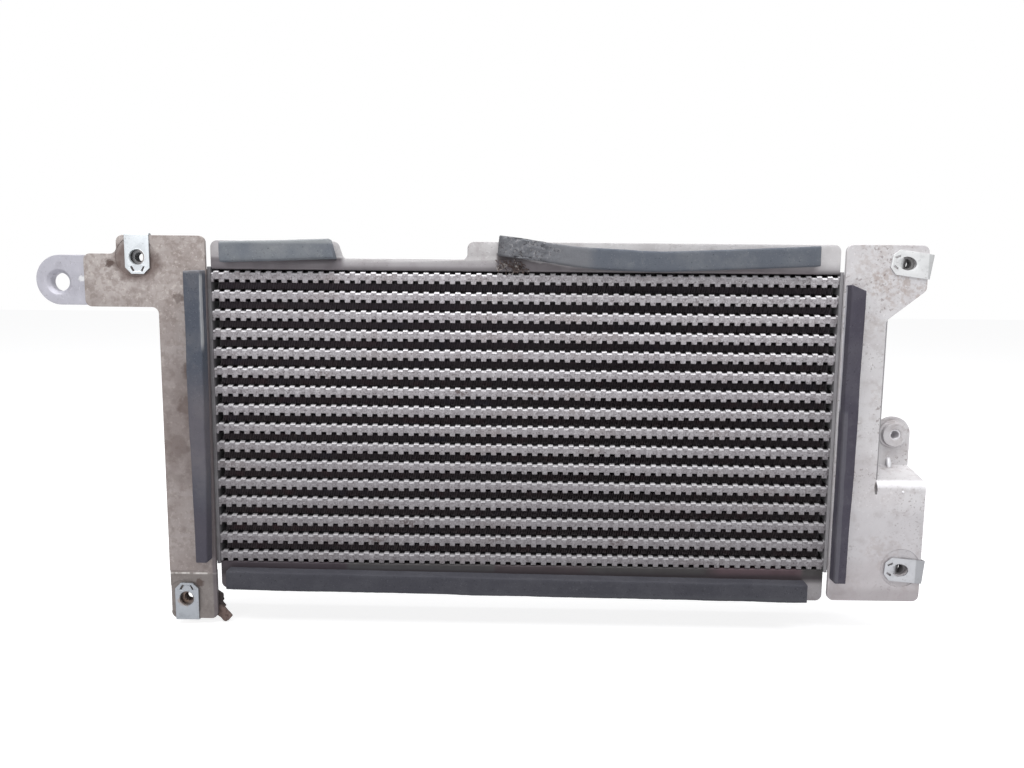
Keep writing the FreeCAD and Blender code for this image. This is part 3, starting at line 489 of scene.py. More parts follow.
# %% [markdown]
# ## The air fins
# Between the tubes lie strips of thin folded sheet. From the front only their
# dark edges show, as faint upright lines, and the light dies between the folds,
# because each fold bends once half way through the core and no straight view leads
# past the bend. One fold is a ribbon with a real thickness, and the same grid
# repeats it.

# %% One fold of fin
FOLD_PITCH = 1.5
FOLDS = int(2 * (CORE_HALF - 1) / FOLD_PITCH) - 2
FOLD_REACH = 13.5
FOLD_SHEET = 0.16


def fold_shape(pitch, height, thickness, bend):
    """One fold of sheet, bent half way: a flat foot, a rise, a flat top and a fall."""
    level = height / 2 - thickness / 2
    middle = [(0, -level), (0.28 * pitch, -level), (0.5 * pitch, level),
              (0.78 * pitch, level), (pitch, -level)]
    leans = (0, -1, -1, 1, 0)
    lift = thickness / 2
    upper = [(x + lean * lift, z + lift) for (x, z), lean in zip(middle, leans)]
    lower = [(x - lean * lift, z - lift) for (x, z), lean in zip(middle, leans)]
    outline = upper + lower[::-1]
    count = len(outline)
    open_sides = (4, 9)
    points, faces = [], []
    for shift, depth in ((0, -FOLD_REACH), (bend, 0), (0, FOLD_REACH)):
        points += [Vector((x + shift, depth, z)) / 1000 for x, z in outline]
    for first in (0, count):
        joined = band(first, first + count, count)
        faces += [face for side, face in enumerate(joined) if side not in open_sides]
    for index in range(4):
        for first in (0, 2 * count):
            faces.append((first + index, first + index + 1, first + 8 - index, first + 9 - index))
    return plain_mesh("fin_fold", points, faces)


fold = new_piece("fin_fold_shape", fold_shape(FOLD_PITCH, ROW_PITCH - BAND, FOLD_SHEET, 1.1 * FOLD_PITCH))
print("fin folds in one strip:", FOLDS)

# %% The finish of the fins, and all strips
fins = Finish("folded_fin_dirt_and_painted_light", (66, 58, 62), 0.75, metallic=0.1)
# Painted light: the fins are lighter towards the top and towards both ends of the core, where less shade
# falls.
core_ends = fins.math("ADD", fins.along("X", -181, -187), fins.along("X", 181, 187), clamp=True)
fins.layers(
    ((10, 3, 4, 0.5, 0.75), (82, 56, 60), 0.7), ((16, 3, 9, 0.55, 0.75), (60, 60, 74), 0.6),
    ((1.4, 2, 6, 0.56, 0.72, (1, 0.2, 0.2)), (98, 88, 88), 0.5),
    (("Z", 0, 95), (96, 88, 96), 0.55), (core_ends, (112, 108, 112), 0.75),
)
fin_mesh = grown("folded_fins", repeat_grid, {
    "Shape": fold, "Start": at(-FOLDS * FOLD_PITCH / 2, 0, (ROWS - 2) / 2 * ROW_PITCH),
    "Columns": FOLDS, "Column Pitch": FOLD_PITCH / 1000,
    "Rows": ROWS - 1, "Row Pitch": ROW_PITCH / 1000,
    "Wobble": (0.0009, 0.0004, 0.0), "Wobble Scale": 130.0, "Seed": 9.0,
    "Material": fins.done(),
})
outward(fin_mesh)
folded_fins = new_piece("folded_fins", fin_mesh)
bpy.data.objects.remove(fold)
stands_for(folded_fins, "fin_aluminium", *[f"air_fin_{row:02d}" for row in range(1, ROWS)])
print("fins:", len(fin_mesh.polygons), "faces")

# %% [markdown]
# ## Sheet metal
# The brackets, the ear, the side plates and the tanks have their true shape in the
# CAD model, but its edges are knife-sharp, and a real punched or brazed edge is
# slightly round and shows as a bright line. So each of these is a copy of its CAD
# node: the loose triangles are merged into flat faces, and a Bevel modifier rounds
# the edges. Carving the shapes again by hand would risk moving them.

# %% Round the edges of a CAD node
def with_round_edges(node, width, material, slot):
    """A copy of a CAD node with bevelled edges, which replaces the node."""
    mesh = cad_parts[node].data.copy()
    with editing(mesh) as work:
        bmesh.ops.remove_doubles(work, verts=work.verts, dist=2e-6)
        bmesh.ops.dissolve_limit(work, angle_limit=math.radians(1), verts=work.verts, edges=work.edges)
    piece = new_piece(node + "_sheet", mesh, material)
    bevel = piece.modifiers.new("round_edges", "BEVEL")
    bevel.width = width / 1000
    bevel.segments = 2
    bevel.limit_method = "ANGLE"
    bevel.angle_limit = math.radians(30)
    rounded = evaluated_mesh(piece)
    piece.modifiers.clear()
    piece.data = rounded
    smooth(rounded, 25)
    stands_for(piece, slot, node)
    print(piece.name, len(rounded.polygons), "faces")


# %% [markdown]
# The left bracket is stained brown over grey, with dark marks and pale speckle.
# The ear welded behind it is cooler and cleaner. The right bracket is pale, with
# brown only near its nuts and where the foam was. All three share one kind of
# surface, so one recipe takes the colours, and each adds its own marks.

# %% Finishes of the brackets
def sheet_finish(name, bare, cloud, stain, speckle, seed):
    """Aged aluminium sheet: clouds, stains, pale dust specks and fine dark pores."""
    metal = Finish(name, bare, 0.5, metallic=0.3)
    metal.layers(
        ((26, 5, seed, 0.42, 0.68), cloud, 0.8), ((7, 5, seed + 1, 0.5, 0.72), stain, 0.6),
        ((1.6, 3, seed + 2, 0.6, 0.74), speckle, 0.55),
        ((1.0, 2, seed + 3, 0.64, 0.76), (88, 78, 74), 0.5),
    )
    metal.dull(metal.clouds(9, 4, seed + 4, 0.4, 0.7), 0.68)
    metal.raised(metal.grain(1.1, 4, seed + 5), 0.07)
    metal.raised(metal.grain(34, 2, seed + 6), 0.5)
    return metal


left_sheet = sheet_finish("left_bracket_sheet", (174, 166, 163), (148, 138, 134), (122, 110, 105),
                          (202, 197, 194), 2)
middle = left_sheet.both(left_sheet.along("Z", 40, 26, "Z", -48, -36),
                         left_sheet.clouds(13, 5, 83, 0.3, 0.55))
# Painted highlight: a pale line along the crease near the foot.
crease_highlight = left_sheet.both(left_sheet.along("Z", -96.9, -97.5, "Z", -98.6, -98.0),
                         left_sheet.clouds(4, 5, 84, 0.36, 0.6))
# A darker ring round the top left nut.
ring_round_nut = left_sheet.math("SUBTRACT", left_sheet.spot((-230, -20, 94), 18, 0.6),
                           left_sheet.spot((-230, -20, 99), 8, 0.2), clamp=True)
left_sheet.layers(
    ((3.6, 5, 81, 0.48, 0.62), (128, 116, 111), 0.5), ((2.0, 5, 82, 0.57, 0.68), (206, 198, 193), 0.4),
    (middle, (104, 91, 86), 0.5), (("X", -232, -212, "Z", 75, 40), (114, 105, 104), 0.38),
    (("Z", 84, 60), (118, 108, 107), 0.16), (("Z", -97.6, -98.2), (100, 96, 93), 0.52),
    (crease_highlight, (226, 222, 218), 0.75), (("X", -192.5, -191, "Z", 90, 86), (92, 85, 89), 0.8),
    (ring_round_nut, (96, 80, 75), 0.8),
)
for x, z, radius, strength in (
    (-246.5, 93.4, 3.2, 0.9), (-242.5, 92, 3.4, 0.4), (-206, 73, 4, 0.6), (-200, 30, 7, 0.6),
    (-202, 8, 9, 0.5), (-210, -18, 10, 0.35), (-200, -104, 3.6, 0.8),
):
    left_sheet.layer(left_sheet.spot((x, -20, z), radius, 0.75), (74, 57, 51), strength)
left_sheet.layer(left_sheet.spot((-252, -20, 60), 14, 0.6), (176, 170, 166), 0.5)
left_bracket_finish = left_sheet.done()

ear_sheet = sheet_finish("left_ear_sheet", (180, 179, 188), (170, 169, 178), (160, 158, 167),
                         (200, 199, 207), 21)
# Painted highlight: a small bright spot on the ear.
ear_sheet.layer(ear_sheet.spot((-265.5, -17, 84), 2.2, 0.5), (226, 226, 228), 0.9)
ear_finish = ear_sheet.done()

right_sheet = sheet_finish("right_bracket_sheet", (204, 202, 204), (190, 186, 188), (172, 165, 165),
                           (224, 222, 224), 33)
crumbs = right_sheet.clouds(2.4, 5, 40, 0.42, 0.62)
for x, z, radius, strength in (
    (214, 84, 15, 0.8), (230, 83, 12, 0.75), (205, 100, 16, 0.45), (222, -78, 15, 0.6),
    (238, -104, 10, 0.5), (198, -104, 14, 0.6), (212, 20, 6, 0.4), (204, 60, 12, 0.35),
):
    blot = right_sheet.both(right_sheet.spot((x, -20, z), radius, 0.8), crumbs)
    right_sheet.layer(blot, (168, 155, 150), 0.8 * strength)
fine_marks = right_sheet.both(right_sheet.clouds(1.5, 4, 71, 0.58, 0.66),
                              right_sheet.clouds(20, 3, 72, 0.44, 0.62))
level = right_sheet.facing()["Z"]
# Painted highlight on the faces that look partly upwards round the fold of the lobe.
fold_highlight = right_sheet.both(right_sheet.steps(level, 0.15, 0.45), right_sheet.steps(level, 0.95, 0.8))
right_sheet.layers(
    (fine_marks, (112, 98, 94), 0.6), (("Z", -78, -88), (168, 158, 158), 0.4),
    (("Z", -98, -104), (140, 131, 132), 0.6),
    (right_sheet.both(fold_highlight, right_sheet.along("Z", -20, -23, "Z", -46, -43)), (236, 236, 240), 0.45),
    (("Z", -42, -58), (170, 166, 170), 0.42),
    (right_sheet.spot((215.2, -20, -37), 4.6, 0.4, (3.4, 1, 1)), (70, 56, 50), 0.85),
)
right_bracket_finish = right_sheet.done()

for node, slot, finish, width in (
    ("left_bracket", "left_bracket_aluminium", left_bracket_finish, 0.35),
    ("left_ear", "ear_aluminium", ear_finish, 0.35),
    ("right_bracket", "right_bracket_aluminium", right_bracket_finish, 0.4),
    ("rear_ear_nut", "right_bracket_aluminium", right_bracket_finish, 0.7),
):
    with_round_edges(node, width, finish, slot)

# %% [markdown]
# The side plates, header plates and tanks are brazed together and never cleaned:
# dull grey. The side plates carry painted shade where they meet the core, and a
# painted shadow under the top foam strips.

# %% Finishes of the plates and tanks
plates = sheet_finish("side_plate_sheet", (184, 182, 183), (166, 163, 164), (148, 143, 144),
                      (206, 205, 206), 47)
plates.layers(
    # Painted shade where the side plates meet the first and the last tube.
    (("Z", 94.2, 91.5, "Z", -98.5, -96.0), (34, 30, 31), 0.96),
    (("Z", -90, -95, "X", 150, -180), (74, 74, 78), 0.75),
    # Painted shadow under the top left and top right foam strips.
    (("X", -106, -110, "Z", 98.6, 97.0), (50, 41, 48), 0.9),
    (plates.below((-16.0, 101.5), (42.0, 90.0)), (54, 44, 48), 0.85),
    (("X", 112, 126, "X", 176, 173, "Z", 97.5, 96), (74, 56, 62), 0.85),
    # Painted shade in the gap under the last tube.
    (("Z", -93, -96, "Z", -101, -98), (44, 38, 42), 0.8), (("Z", -97, -101), (84, 78, 82), 0.55),
    (("X", -166, -180, "Z", 95, 98), (150, 146, 149), 0.65),
    (("Z", 98, 94, "Z", 89, 91), (132, 127, 131), 0.6),
    (("X", 120, 178, "Z", 90, 97), (206, 204, 206), 0.5),
)
plate_finish = plates.done()

tank_sheet = sheet_finish("tank_sheet", (128, 127, 129), (104, 102, 105), (88, 84, 85), (160, 159, 161), 58)
tank_sheet.layers((("X", 120, 180), (156, 154, 157), 0.55), (("X", -120, -180), (96, 93, 97), 0.4))
tank_sheet.raised(tank_sheet.grain(2.4, 3, 61), 0.12)
tank_finish = tank_sheet.done()

for node in ("top_side_plate", "bottom_side_plate"):
    with_round_edges(node, 0.25, plate_finish, "plate_aluminium")
for side in ("left", "right"):
    with_round_edges(f"{side}_header_plate", 0.3, tank_finish, "tank_aluminium")
    with_round_edges(f"{side}_tank", 0.6, tank_finish, "tank_aluminium")
    for end in ("top", "bottom"):
        with_round_edges(f"{side}_tank_{end}_cap", 0.5, tank_finish, "tank_aluminium")

pipe_finish = sheet_finish("pipe_metal", (170, 170, 172), (156, 155, 157), (140, 136, 136),
                           (196, 196, 198), 66).done()
for label in ("inlet_pipe", "outlet_pipe"):
    with_round_edges(label, 0.3, pipe_finish, "pipe_aluminium")

# %% [markdown]
# ## Clip nuts
# A clip nut is one strip of spring steel, folded over the bracket edge. Its front
# leaf has a wide hole and two slanted slots that free a tongue; its rear leaf
# carries a drawn, threaded barrel. It is made like the real one: a flat blank with
# its holes is cut as a filled curve, and then every point of the blank is bent
# round the fold.

# %% The blank, and the bend
NUT_SHEET = 1.0
NUT_HALF = 7.15
NUT_NOSE = 9.8
BEND_START = 12.9
BEND = 0.8
FLAT = 1.9
QUARTER = BEND * math.pi / 2
REAR_START = BEND_START + 2 * QUARTER + FLAT
REAR_END = REAR_START + BEND_START + 7.6
BEND_LINES = [start + QUARTER * step / 3 for start in (BEND_START, BEND_START + QUARTER + FLAT)
              for step in range(4)]


def ring(centre, radius, count=32, squash=1.0):
    """Points round a circle or a squashed circle."""
    turns = [2 * math.pi * step / count for step in range(count)]
    return [(centre[0] + radius * math.cos(turn), centre[1] + squash * radius * math.sin(turn))
            for turn in turns]


def pressed_hole():
    """An eye-shaped opening, where a screw has pushed the tongue inwards."""
    return [(4.05 * x * (1 - 0.3 * max(0.0, -y) ** 2), 5.6 * y - 0.9) for x, y in ring((0, 0), 1.0, 36)]


def slot_outline(side):
    """A slanted slot beside the tongue of the front leaf."""
    return [(side * x, v) for x, v in ((4.6, -5.7), (3.3, -5.2), (1.6, -8.2), (2.9, -8.8))]


def blank_mesh(name, outlines, thickness, edge):
    """A flat sheet with holes, its edges slightly round, in millimetres."""
    curve = bpy.data.curves.new(name, "CURVE")
    curve.dimensions = "2D"
    curve.fill_mode = "BOTH"
    curve.extrude = thickness / 2 - edge
    curve.bevel_depth = edge
    curve.bevel_resolution = 1
    for outline in outlines:
        spline = curve.splines.new("POLY")
        spline.points.add(len(outline) - 1)
        for point, (u, v) in zip(spline.points, outline):
            point.co = (u, v, 0, 1)
        spline.use_cyclic_u = True
    holder = new_piece(name, curve)
    mesh = evaluated_mesh(holder)
    bpy.data.objects.remove(holder)
    return mesh


def bent(u, v, out):
    """Where a point of the blank lies once folded: across, backwards and up."""
    if v <= BEND_START:
        return (u, -out, v)
    if v <= BEND_START + QUARTER:
        angle = (v - BEND_START) / BEND
        reach = BEND + out
        return (u, BEND - reach * math.cos(angle), BEND_START + reach * math.sin(angle))
    if v <= BEND_START + QUARTER + FLAT:
        return (u, BEND + v - BEND_START - QUARTER, BEND_START + BEND + out)
    if v <= REAR_START:
        angle = (v - REAR_START + QUARTER) / BEND
        reach = BEND + out
        return (u, BEND + FLAT + reach * math.sin(angle), BEND_START + reach * math.cos(angle))
    return (u, 2 * BEND + FLAT + out, BEND_START + REAR_START - v)


print("clip nut blank:", round(REAR_END + NUT_NOSE, 1), "mm long")


# %% The barrel, and a whole nut
def turned(name, profile, count=32):
    """A closed ring turned about the Y axis from a closed profile of radius and depth."""
    points, faces = [], []
    size = len(profile)
    for step in range(count):
        angle = 2 * math.pi * step / count
        points += [(radius * math.cos(angle), depth, radius * math.sin(angle)) for radius, depth in profile]
        faces += band(step * size, (step + 1) % count * size, size)
    return plain_mesh(name, points, faces)


def barrel_profile():
    """The drawn barrel of the rear leaf, with the ridges of its thread inside."""
    start, end = 4.0, 8.6
    profile = [(4.3, start), (3.9, start + 0.5), (3.75, end - 0.3), (3.5, end)]
    depth = end
    while depth > 3.1:
        profile += [(2.95, depth), (2.62, depth - 0.45)]
        depth -= 0.9
    return profile + [(2.9, 3.0), (3.4, 2.95)]


def tongue_mesh():
    """The tongue of a used nut: a curled flap that leads from the rim into the hole."""
    stations = (
        (-6.6, 0.0, 2.6), (-5.2, 0.2, 3.1), (-3.8, 0.8, 3.1), (-2.4, 1.6, 2.9),
        (-1.2, 2.5, 2.6), (-0.3, 3.6, 2.3), (0.7, 5.0, 1.9),
    )
    points, faces = [], []
    for v, depth, half in stations:
        row = [(share * half, depth - 0.25 * share * share) for share in (-1, -0.5, 0, 0.5, 1)]
        points += [(u, y, v) for u, y in row] + [(u, y + 0.7, v) for u, y in reversed(row)]
    for station in range(len(stations) - 1):
        faces += band(10 * station, 10 * (station + 1), 10)
    faces += [tuple(range(10)), tuple(reversed(range(len(points) - 10, len(points))))]
    return plain_mesh("tongue", points, faces)


def nut_mesh(name, place, turn, seed, used=False):
    """A clip nut, bent from its blank and turned about its hole."""
    outline = [
        (NUT_HALF, -6.2), (3.55, -NUT_NOSE), (-3.55, -NUT_NOSE), (-NUT_HALF, -6.2), (-NUT_HALF, BEND_START),
        (-NUT_HALF + 0.3, REAR_START), (-6.2, REAR_END - 0.8), (-5.2, REAR_END), (5.2, REAR_END),
        (6.2, REAR_END - 0.8), (NUT_HALF - 0.3, REAR_START), (NUT_HALF, BEND_START),
    ]
    front_hole = pressed_hole() if used else ring((0, 0.2), 4.7, 36, 1.06)
    rear_hole = ring((0, REAR_START + BEND_START), 3.3)
    cuts = [front_hole, slot_outline(1), slot_outline(-1), rear_hole]
    work = bmesh.new()
    work.from_mesh(blank_mesh(name, [outline] + cuts, NUT_SHEET, 0.14))
    for line in BEND_LINES:
        bmesh.ops.bisect_plane(work, geom=everything(work), plane_co=(0, line, 0), plane_no=(0, 1, 0))
    for vert in work.verts:
        u, v, out = vert.co
        x, y, z = bent(u, v, out)
        past = -4.4 - v
        if not used and past > 0 and abs(u) < 4.4 - past * 0.62:
            y += 0.55 * min(1.0, past / 1.5)
        vert.co = (x, y, z)
    lip = turned("lip", [(4.62, -0.62), (5.1, -0.5), (4.95, 0.2), (4.55, 0.75), (4.4, 0.7), (4.5, 0.0)], 36)
    for part in (tongue_mesh() if used else lip, turned("barrel", barrel_profile())):
        work.from_mesh(part)
    bmesh.ops.remove_doubles(work, verts=work.verts, dist=0.001)
    angle = Matrix.Rotation(math.radians(turn), 4, "Y")
    for vert in work.verts:
        shake = noise.noise_vector(vert.co * 0.25 + Vector((seed * 7.0, 0, 0))) * 0.12
        vert.co = at(*(angle @ (vert.co + shake) + Vector(place)))
    bmesh.ops.recalc_face_normals(work, faces=work.faces)
    mesh = bpy.data.meshes.new(name)
    work.to_mesh(mesh)
    work.free()
    smooth(mesh, 32)
    return mesh


# %% [markdown]
# The nuts are zinc-plated, bright on the left at the top and duller at the bottom,
# with rust inside the lowest left one. The two right ones have held a screw, and
# are darker where they fold over the edge.

# %% Four clip nuts
def nut_room(tilt):
    """Distance from a tilted nut's hole to the bracket edge that it sits on."""
    lean = math.radians(tilt)
    return (BEND_START - NUT_HALF * math.sin(lean)) / math.cos(lean)


NUTS = {
    "top_left": ((-229.8, -20.0, 97.1), 0, (208, 213, 217), None),
    "bottom_left": ((-208.3, -19.4, -113.8), 180, (154, 158, 164), None),
    "top_right": ((HEADER + 48 - nut_room(8), -20.0, 97.2), 98, (214, 215, 216), 237.0),
    "bottom_right": ((HEADER + 56 - nut_room(5), -20.0, -88.6), 95, (182, 183, 187), 242.0),
}
for number, (label, (place, turn_angle, colour, fold_x)) in enumerate(NUTS.items()):
    zinc = Finish(f"{label}_nut_zinc", colour, 0.34, metallic=0.55)
    rusty = label == "bottom_left"
    zinc.layers(
        ((5, 4, number, 0.5, 0.75), shade(colour, -26), 0.6),
        ((1.4, 3, number + 9, 0.62, 0.75), (120, 116, 114), 0.5),
        (("Y", -19.2, -17.6), (96, 74, 60) if rusty else (84, 80, 80), 0.8),
    )
    if rusty:
        zinc.layer(zinc.spot((-209.8, -19.5, -115), 4.6, 0.7), (138, 114, 96), 0.6)
    if fold_x:
        zinc.layer(("X", fold_x - 0.4, fold_x + 0.4), shade(colour, -42), 0.7)
    zinc.dull(zinc.grain(3, 3, number), 0.5)
    zinc.raised(zinc.grain(1.2, 3, number), 0.05)
    mesh = nut_mesh(f"{label}_clip_nut_sheet", place, turn_angle, number, used=fold_x is not None)
    nut = new_piece(f"{label}_clip_nut_sheet", mesh, zinc.done())
    stands_for(nut, "nut_zinc", f"{label}_clip_nut")
    print(nut.name, len(mesh.polygons), "faces")

# %% [markdown]
# ## Foam strips
# The strips are closed-cell foam, cut from sheet and glued on by one face. They
# have sagged and hardened with age: their long edges wander, the front edges are
# rubbed round, one end has peeled off, and its face is pitted. A plain box would
# show none of that, and cloth would be too limp. So each strip is a loft along two
# rails, a lower and an upper one, with a rounded section, and noise moves its skin.

# %% A strip between two rails
FOAM_THICK = 8.0
FOAM_ROUND = 1.1
WANDER = 0.35


def on_rail(rail, share):
    """A point on a line of points, at a share of its length from 0 to 1."""
    lengths = [(Vector(b) - Vector(a)).length for a, b in zip(rail, rail[1:])]
    left = share * sum(lengths)
    for start, end, length in zip(rail, rail[1:], lengths):
        if left <= length:
            return Vector(start).lerp(Vector(end), left / length)
        left -= length
    return Vector(rail[-1])


def soft_bend(rail, share, reach=0.05):
    """The rail with its corners rounded, by averaging near points."""
    if share < reach or share > 1 - reach:
        return on_rail(rail, share)
    near = [on_rail(rail, share + offset * reach) for offset in (-1, -0.5, 0, 0.5, 1)]
    return sum(near, Vector((0, 0))) / len(near)


def foam_section(height, thick, front_round, count=7):
    """Points across a strip: up its height and forwards, from the glued face round."""
    section = [(0.0, 0.0), (0.0, thick * 0.35), (0.0, thick * 0.7)]
    for step in range(4):
        angle = math.pi / 2 * step / 3
        section.append((front_round * (1 - math.cos(angle)), thick - front_round * (1 - math.sin(angle))))
    for step in range(1, count):
        share = step / count
        bulge = 0.12 * math.sin(math.pi * share)
        section.append((front_round + share * (height - 2 * front_round), thick + bulge))
    for step in range(4):
        angle = math.pi / 2 * (1 - step / 3)
        section.append((height - front_round * (1 - math.cos(angle)),
                        thick - front_round * (1 - math.sin(angle))))
    return section + [(height, thick * 0.7), (height, thick * 0.35), (height, 0.0), (height * 0.5, 0.0)]


def foam_mesh(name, lower, upper, back, seed, pitted=None):
    """A foam strip whose glued face lies at a depth, between two rails in X and Z."""
    length = (Vector(lower[-1]) - Vector(lower[0])).length
    count = int(length / 1.6)
    rim = 0.35 / length
    shares = [0.0, rim] + [step / count for step in range(1, count)] + [1 - rim, 1.0]
    points, faces = [], []
    for number, share in enumerate(shares):
        low, high = soft_bend(lower, share), soft_bend(upper, share)
        across = high - low
        height = across.length
        section = foam_section(height, FOAM_THICK, FOAM_ROUND)
        inset = 0.45 if number in (0, len(shares) - 1) else 0.0
        for up, forward in section:
            up = min(max(up, inset), height - inset)
            forward = min(forward, FOAM_THICK - inset)
            spot = low + across * (up / height)
            place = Vector((spot.x, back - forward, spot.y))
            slow = noise.noise_vector(place * 0.035 + Vector((seed, 0, 0)))
            quick = noise.noise_vector(place * 0.35 + Vector((0, seed, 0)))
            moved = Vector((slow.x, 0, slow.z)) * WANDER * (0.4 + forward / FOAM_THICK) + quick * 0.11
            if forward < 0.2:
                moved.y = 0
            if pitted is not None and forward > FOAM_THICK * 0.6:
                away = (place - Vector(pitted[0])).length / pitted[1]
                if away < 1:
                    hole = max(0.0, noise.noise(place * 0.8) + 0.1) * 3.0 * (1 - away * away)
                    moved.y += min(hole, 2.2)
            points.append(tuple(place + moved))
    size = len(section)
    last = len(points) - size
    for first in range(0, last, size):
        faces += band(first, first + size, size)
    faces += [tuple(range(size)), tuple(reversed(range(last, last + size)))]
    mesh = mesh_from(name, points, faces)
    outward(mesh)
    smooth(mesh, 50)
    return mesh


print("foam tools ready")

# %% [markdown]
# Aged foam is matte and greyer where it is dusty or rubbed, above all along its
# edges, and the top face of the top left strip has a painted highlight. The side
# strips also have a torn pale edge towards the core.

# %% The foam finish, strip by strip
def foam_finish(name, colour, dust, seed, strength=0.6):
    """Matte foam with dust in clouds, fine scratches and tiny open cells."""
    foam = Finish(name, colour, 0.82)
    foam.shader.inputs["Specular IOR Level"].default_value = 0.3
    foam.layers(
        ((22, 4, seed, 0.42, 0.7), dust, strength), ((5, 5, seed + 1, 0.55, 0.75), dust, strength * 0.7),
        ((0.9, 3, seed + 2, 0.6, 0.78), shade(dust, 34), 0.45),
        ((1.2, 2, seed + 3, 0.63, 0.72), tuple(int(value * 0.6) for value in colour), 0.6),
    )
    foam.raised(foam.grain(0.6, 3, seed), 0.1)
    foam.raised(foam.grain(6, 3, seed + 4), 0.35)
    return foam


def torn_edge(foam, start, end, low, high, depth, colour, strength):
    """A pale ragged line up a strip, between two X and two Y places, from one height to another."""
    wave = foam.math("SUBTRACT", foam.grain(30, 3, 3, (0.2, 0.2, 1)), 0.5)
    across = foam.math("ADD", foam.split()["X"], foam.math("MULTIPLY", wave, 0.0022))
    left, right = at(start, 0, 0).x, at(end, 0, 0).x
    inside = foam.both(foam.steps(across, left - 0.0003, left + 0.0002),
                       foam.without(foam.steps(across, right - 0.0002, right + 0.0004)))
    limits = foam.along("Z", low - 4, low + 4, "Z", high + 2, high - 2,
                        "Y", depth[0] - 0.3, depth[0] + 0.3, "Y", depth[1] + 0.3, depth[1] - 0.3)
    foam.layer(foam.both(inside, limits), colour, strength)


left_foam = foam_finish("left_foam", (76, 81, 92), (104, 105, 110), 3)
torn_edge(left_foam, -190.7, -188.5, 44, 87, (-27.3, -24.0), (176, 178, 181), 0.8)
left_foam.layers(
    (("Z", 87.0, 89.5), (150, 148, 150), 0.5), (("Z", 40, 0, "Z", -60, -20), (106, 98, 102), 0.5),
    (("Z", -24, -66), (72, 67, 76), 0.75),
)
right_foam = foam_finish("right_foam", (69, 66, 77), (87, 85, 93), 7)
torn_edge(right_foam, 189.4, 190.8, 10, 84, (-21.2, -18.0), (190, 190, 196), 0.9)
torn_edge(right_foam, 190.0, 192.6, -96, 10, (-29, -25), (104, 103, 110), 0.5)
top_left_foam = foam_finish("top_left_foam", (108, 113, 121), (136, 139, 141), 11)
# Painted highlight on the top face of the strip.
top_left_foam.layer(("Z", 105.0, 106.6), (150, 153, 155), 0.7)
top_right_foam = foam_finish("top_right_foam", (92, 97, 106), (116, 119, 124), 14)
pitted_end = top_right_foam.spot((0, -24, 104), 19, 0.5, (0.8, 0.3, 1.2))
pale_flecks = top_right_foam.clouds(1.5, 4, 6, 0.55, 0.61)
dark_flecks = top_right_foam.clouds(1.5, 4, 5, 0.58, 0.64)
top_right_foam.layers(
    (("X", 44, 36), (122, 122, 125), 0.6),
    (top_right_foam.both(pitted_end, pale_flecks), (150, 148, 149), 0.55),
    (top_right_foam.both(pitted_end, dark_flecks), (66, 61, 63), 0.75),
    (("X", -8, -15), (78, 78, 82), 0.6),
)
bottom_foam = foam_finish("bottom_foam", (60, 60, 67), (76, 76, 82), 19, 0.5)
bottom_foam.layer(("Z", -104.5, -107.5), (78, 79, 84), 0.5)
print("foam finishes ready")

# %% Five strips of foam
TOP = 90.51
SIDE_GAP = HEADER + 0.8
left_out, left_in = -SIDE_GAP - 9.6, -SIDE_GAP
right_in, right_out = SIDE_GAP, SIDE_GAP + 8.5
STRIPS = {
    "left_foam_strip": (
        [(left_out + 1.4, -88), (left_out, 10), (left_out, 89.2)],
        [(left_in - 1.2, -88), (left_in, -20), (left_in + 0.6, 89.8)],
        BRACKET_FRONT, left_foam, "side_foam", None),
    "right_foam_strip": (
        [(right_in, -95), (right_in, 84.6)],
        [(right_out - 1.5, -95), (right_out, 10), (right_out + 0.3, 81)],
        BRACKET_FRONT, right_foam, "side_foam", None),
    "top_left_foam_strip": (
        [(-179.6, TOP + 4.0), (-111.5, TOP + 6.5)], [(-179.6, TOP + 15.9), (-114.5, TOP + 17.9)],
        CORE_FRONT, top_left_foam, "top_foam", None),
    "top_right_foam_strip": (
        [(-15.3, 99.9), (1, 98.1), (13, 96.3), (25, 94.3), (37, 92.8), (50, 91.9), (80, 90.9), (173, 95)],
        [(-14.0, 111.5), (0, 110.1), (13, 107.8), (25, 106), (37, 104.8), (50, 104), (80, 102.7),
         (173, 106.8)],
        CORE_FRONT, top_right_foam, "top_foam", ((2, -24, 104), 20)),
    "bottom_foam_strip": (
        [(-182, -TOP - 15.8), (176, -TOP - 18.8)], [(-182, -TOP - 4), (176, -TOP - 7)],
        CORE_FRONT, bottom_foam, "bottom_foam", None),
}
for seed, (label, (lower, upper, back, foam, slot, pitted)) in enumerate(STRIPS.items()):
    mesh = foam_mesh(label + "_worn", lower, upper, back, seed + 1, pitted)
    strip = new_piece(label + "_worn", mesh, foam.done())
    stands_for(strip, slot, label)
    print(strip.name, len(mesh.polygons), "faces")

# %% [markdown]
# ## Small things that age has left
# The weld nut on the rear ear has a thread, two short ribs are pressed across the
# bends of the folded lobe to stiffen it, a brittle flake of old sealing hangs at the
# lower left corner, and fibres stick under the peeled foam. The flake is cut from
# a filled curve like a nut blank, the ribs are long drops sunk in the sheet, and
# every fibre is a thin three-sided tube.

# %% Thread of the weld nut and two pressed ribs
WELD_NUT = Vector((HEADER + 45, 0, -8.5))
thread_profile = [(3.39, 2.0), (3.39, 13.2)]
for turn_number in range(12, -1, -1):
    depth = 2.2 + turn_number * 0.85
    thread_profile += [(2.98, depth + 0.5), (2.66, depth)]
thread = turned("weld_nut_thread", thread_profile, 28)
for vert in thread.vertices:
    vert.co = at(*(vert.co + WELD_NUT))
outward(thread)
smooth(thread, 30)
thread_finish = Finish("weld_nut_thread_metal", (214, 212, 216), 0.45, metallic=0.4).done()
stands_for(new_piece("weld_nut_thread", thread, thread_finish), "right_bracket_aluminium")


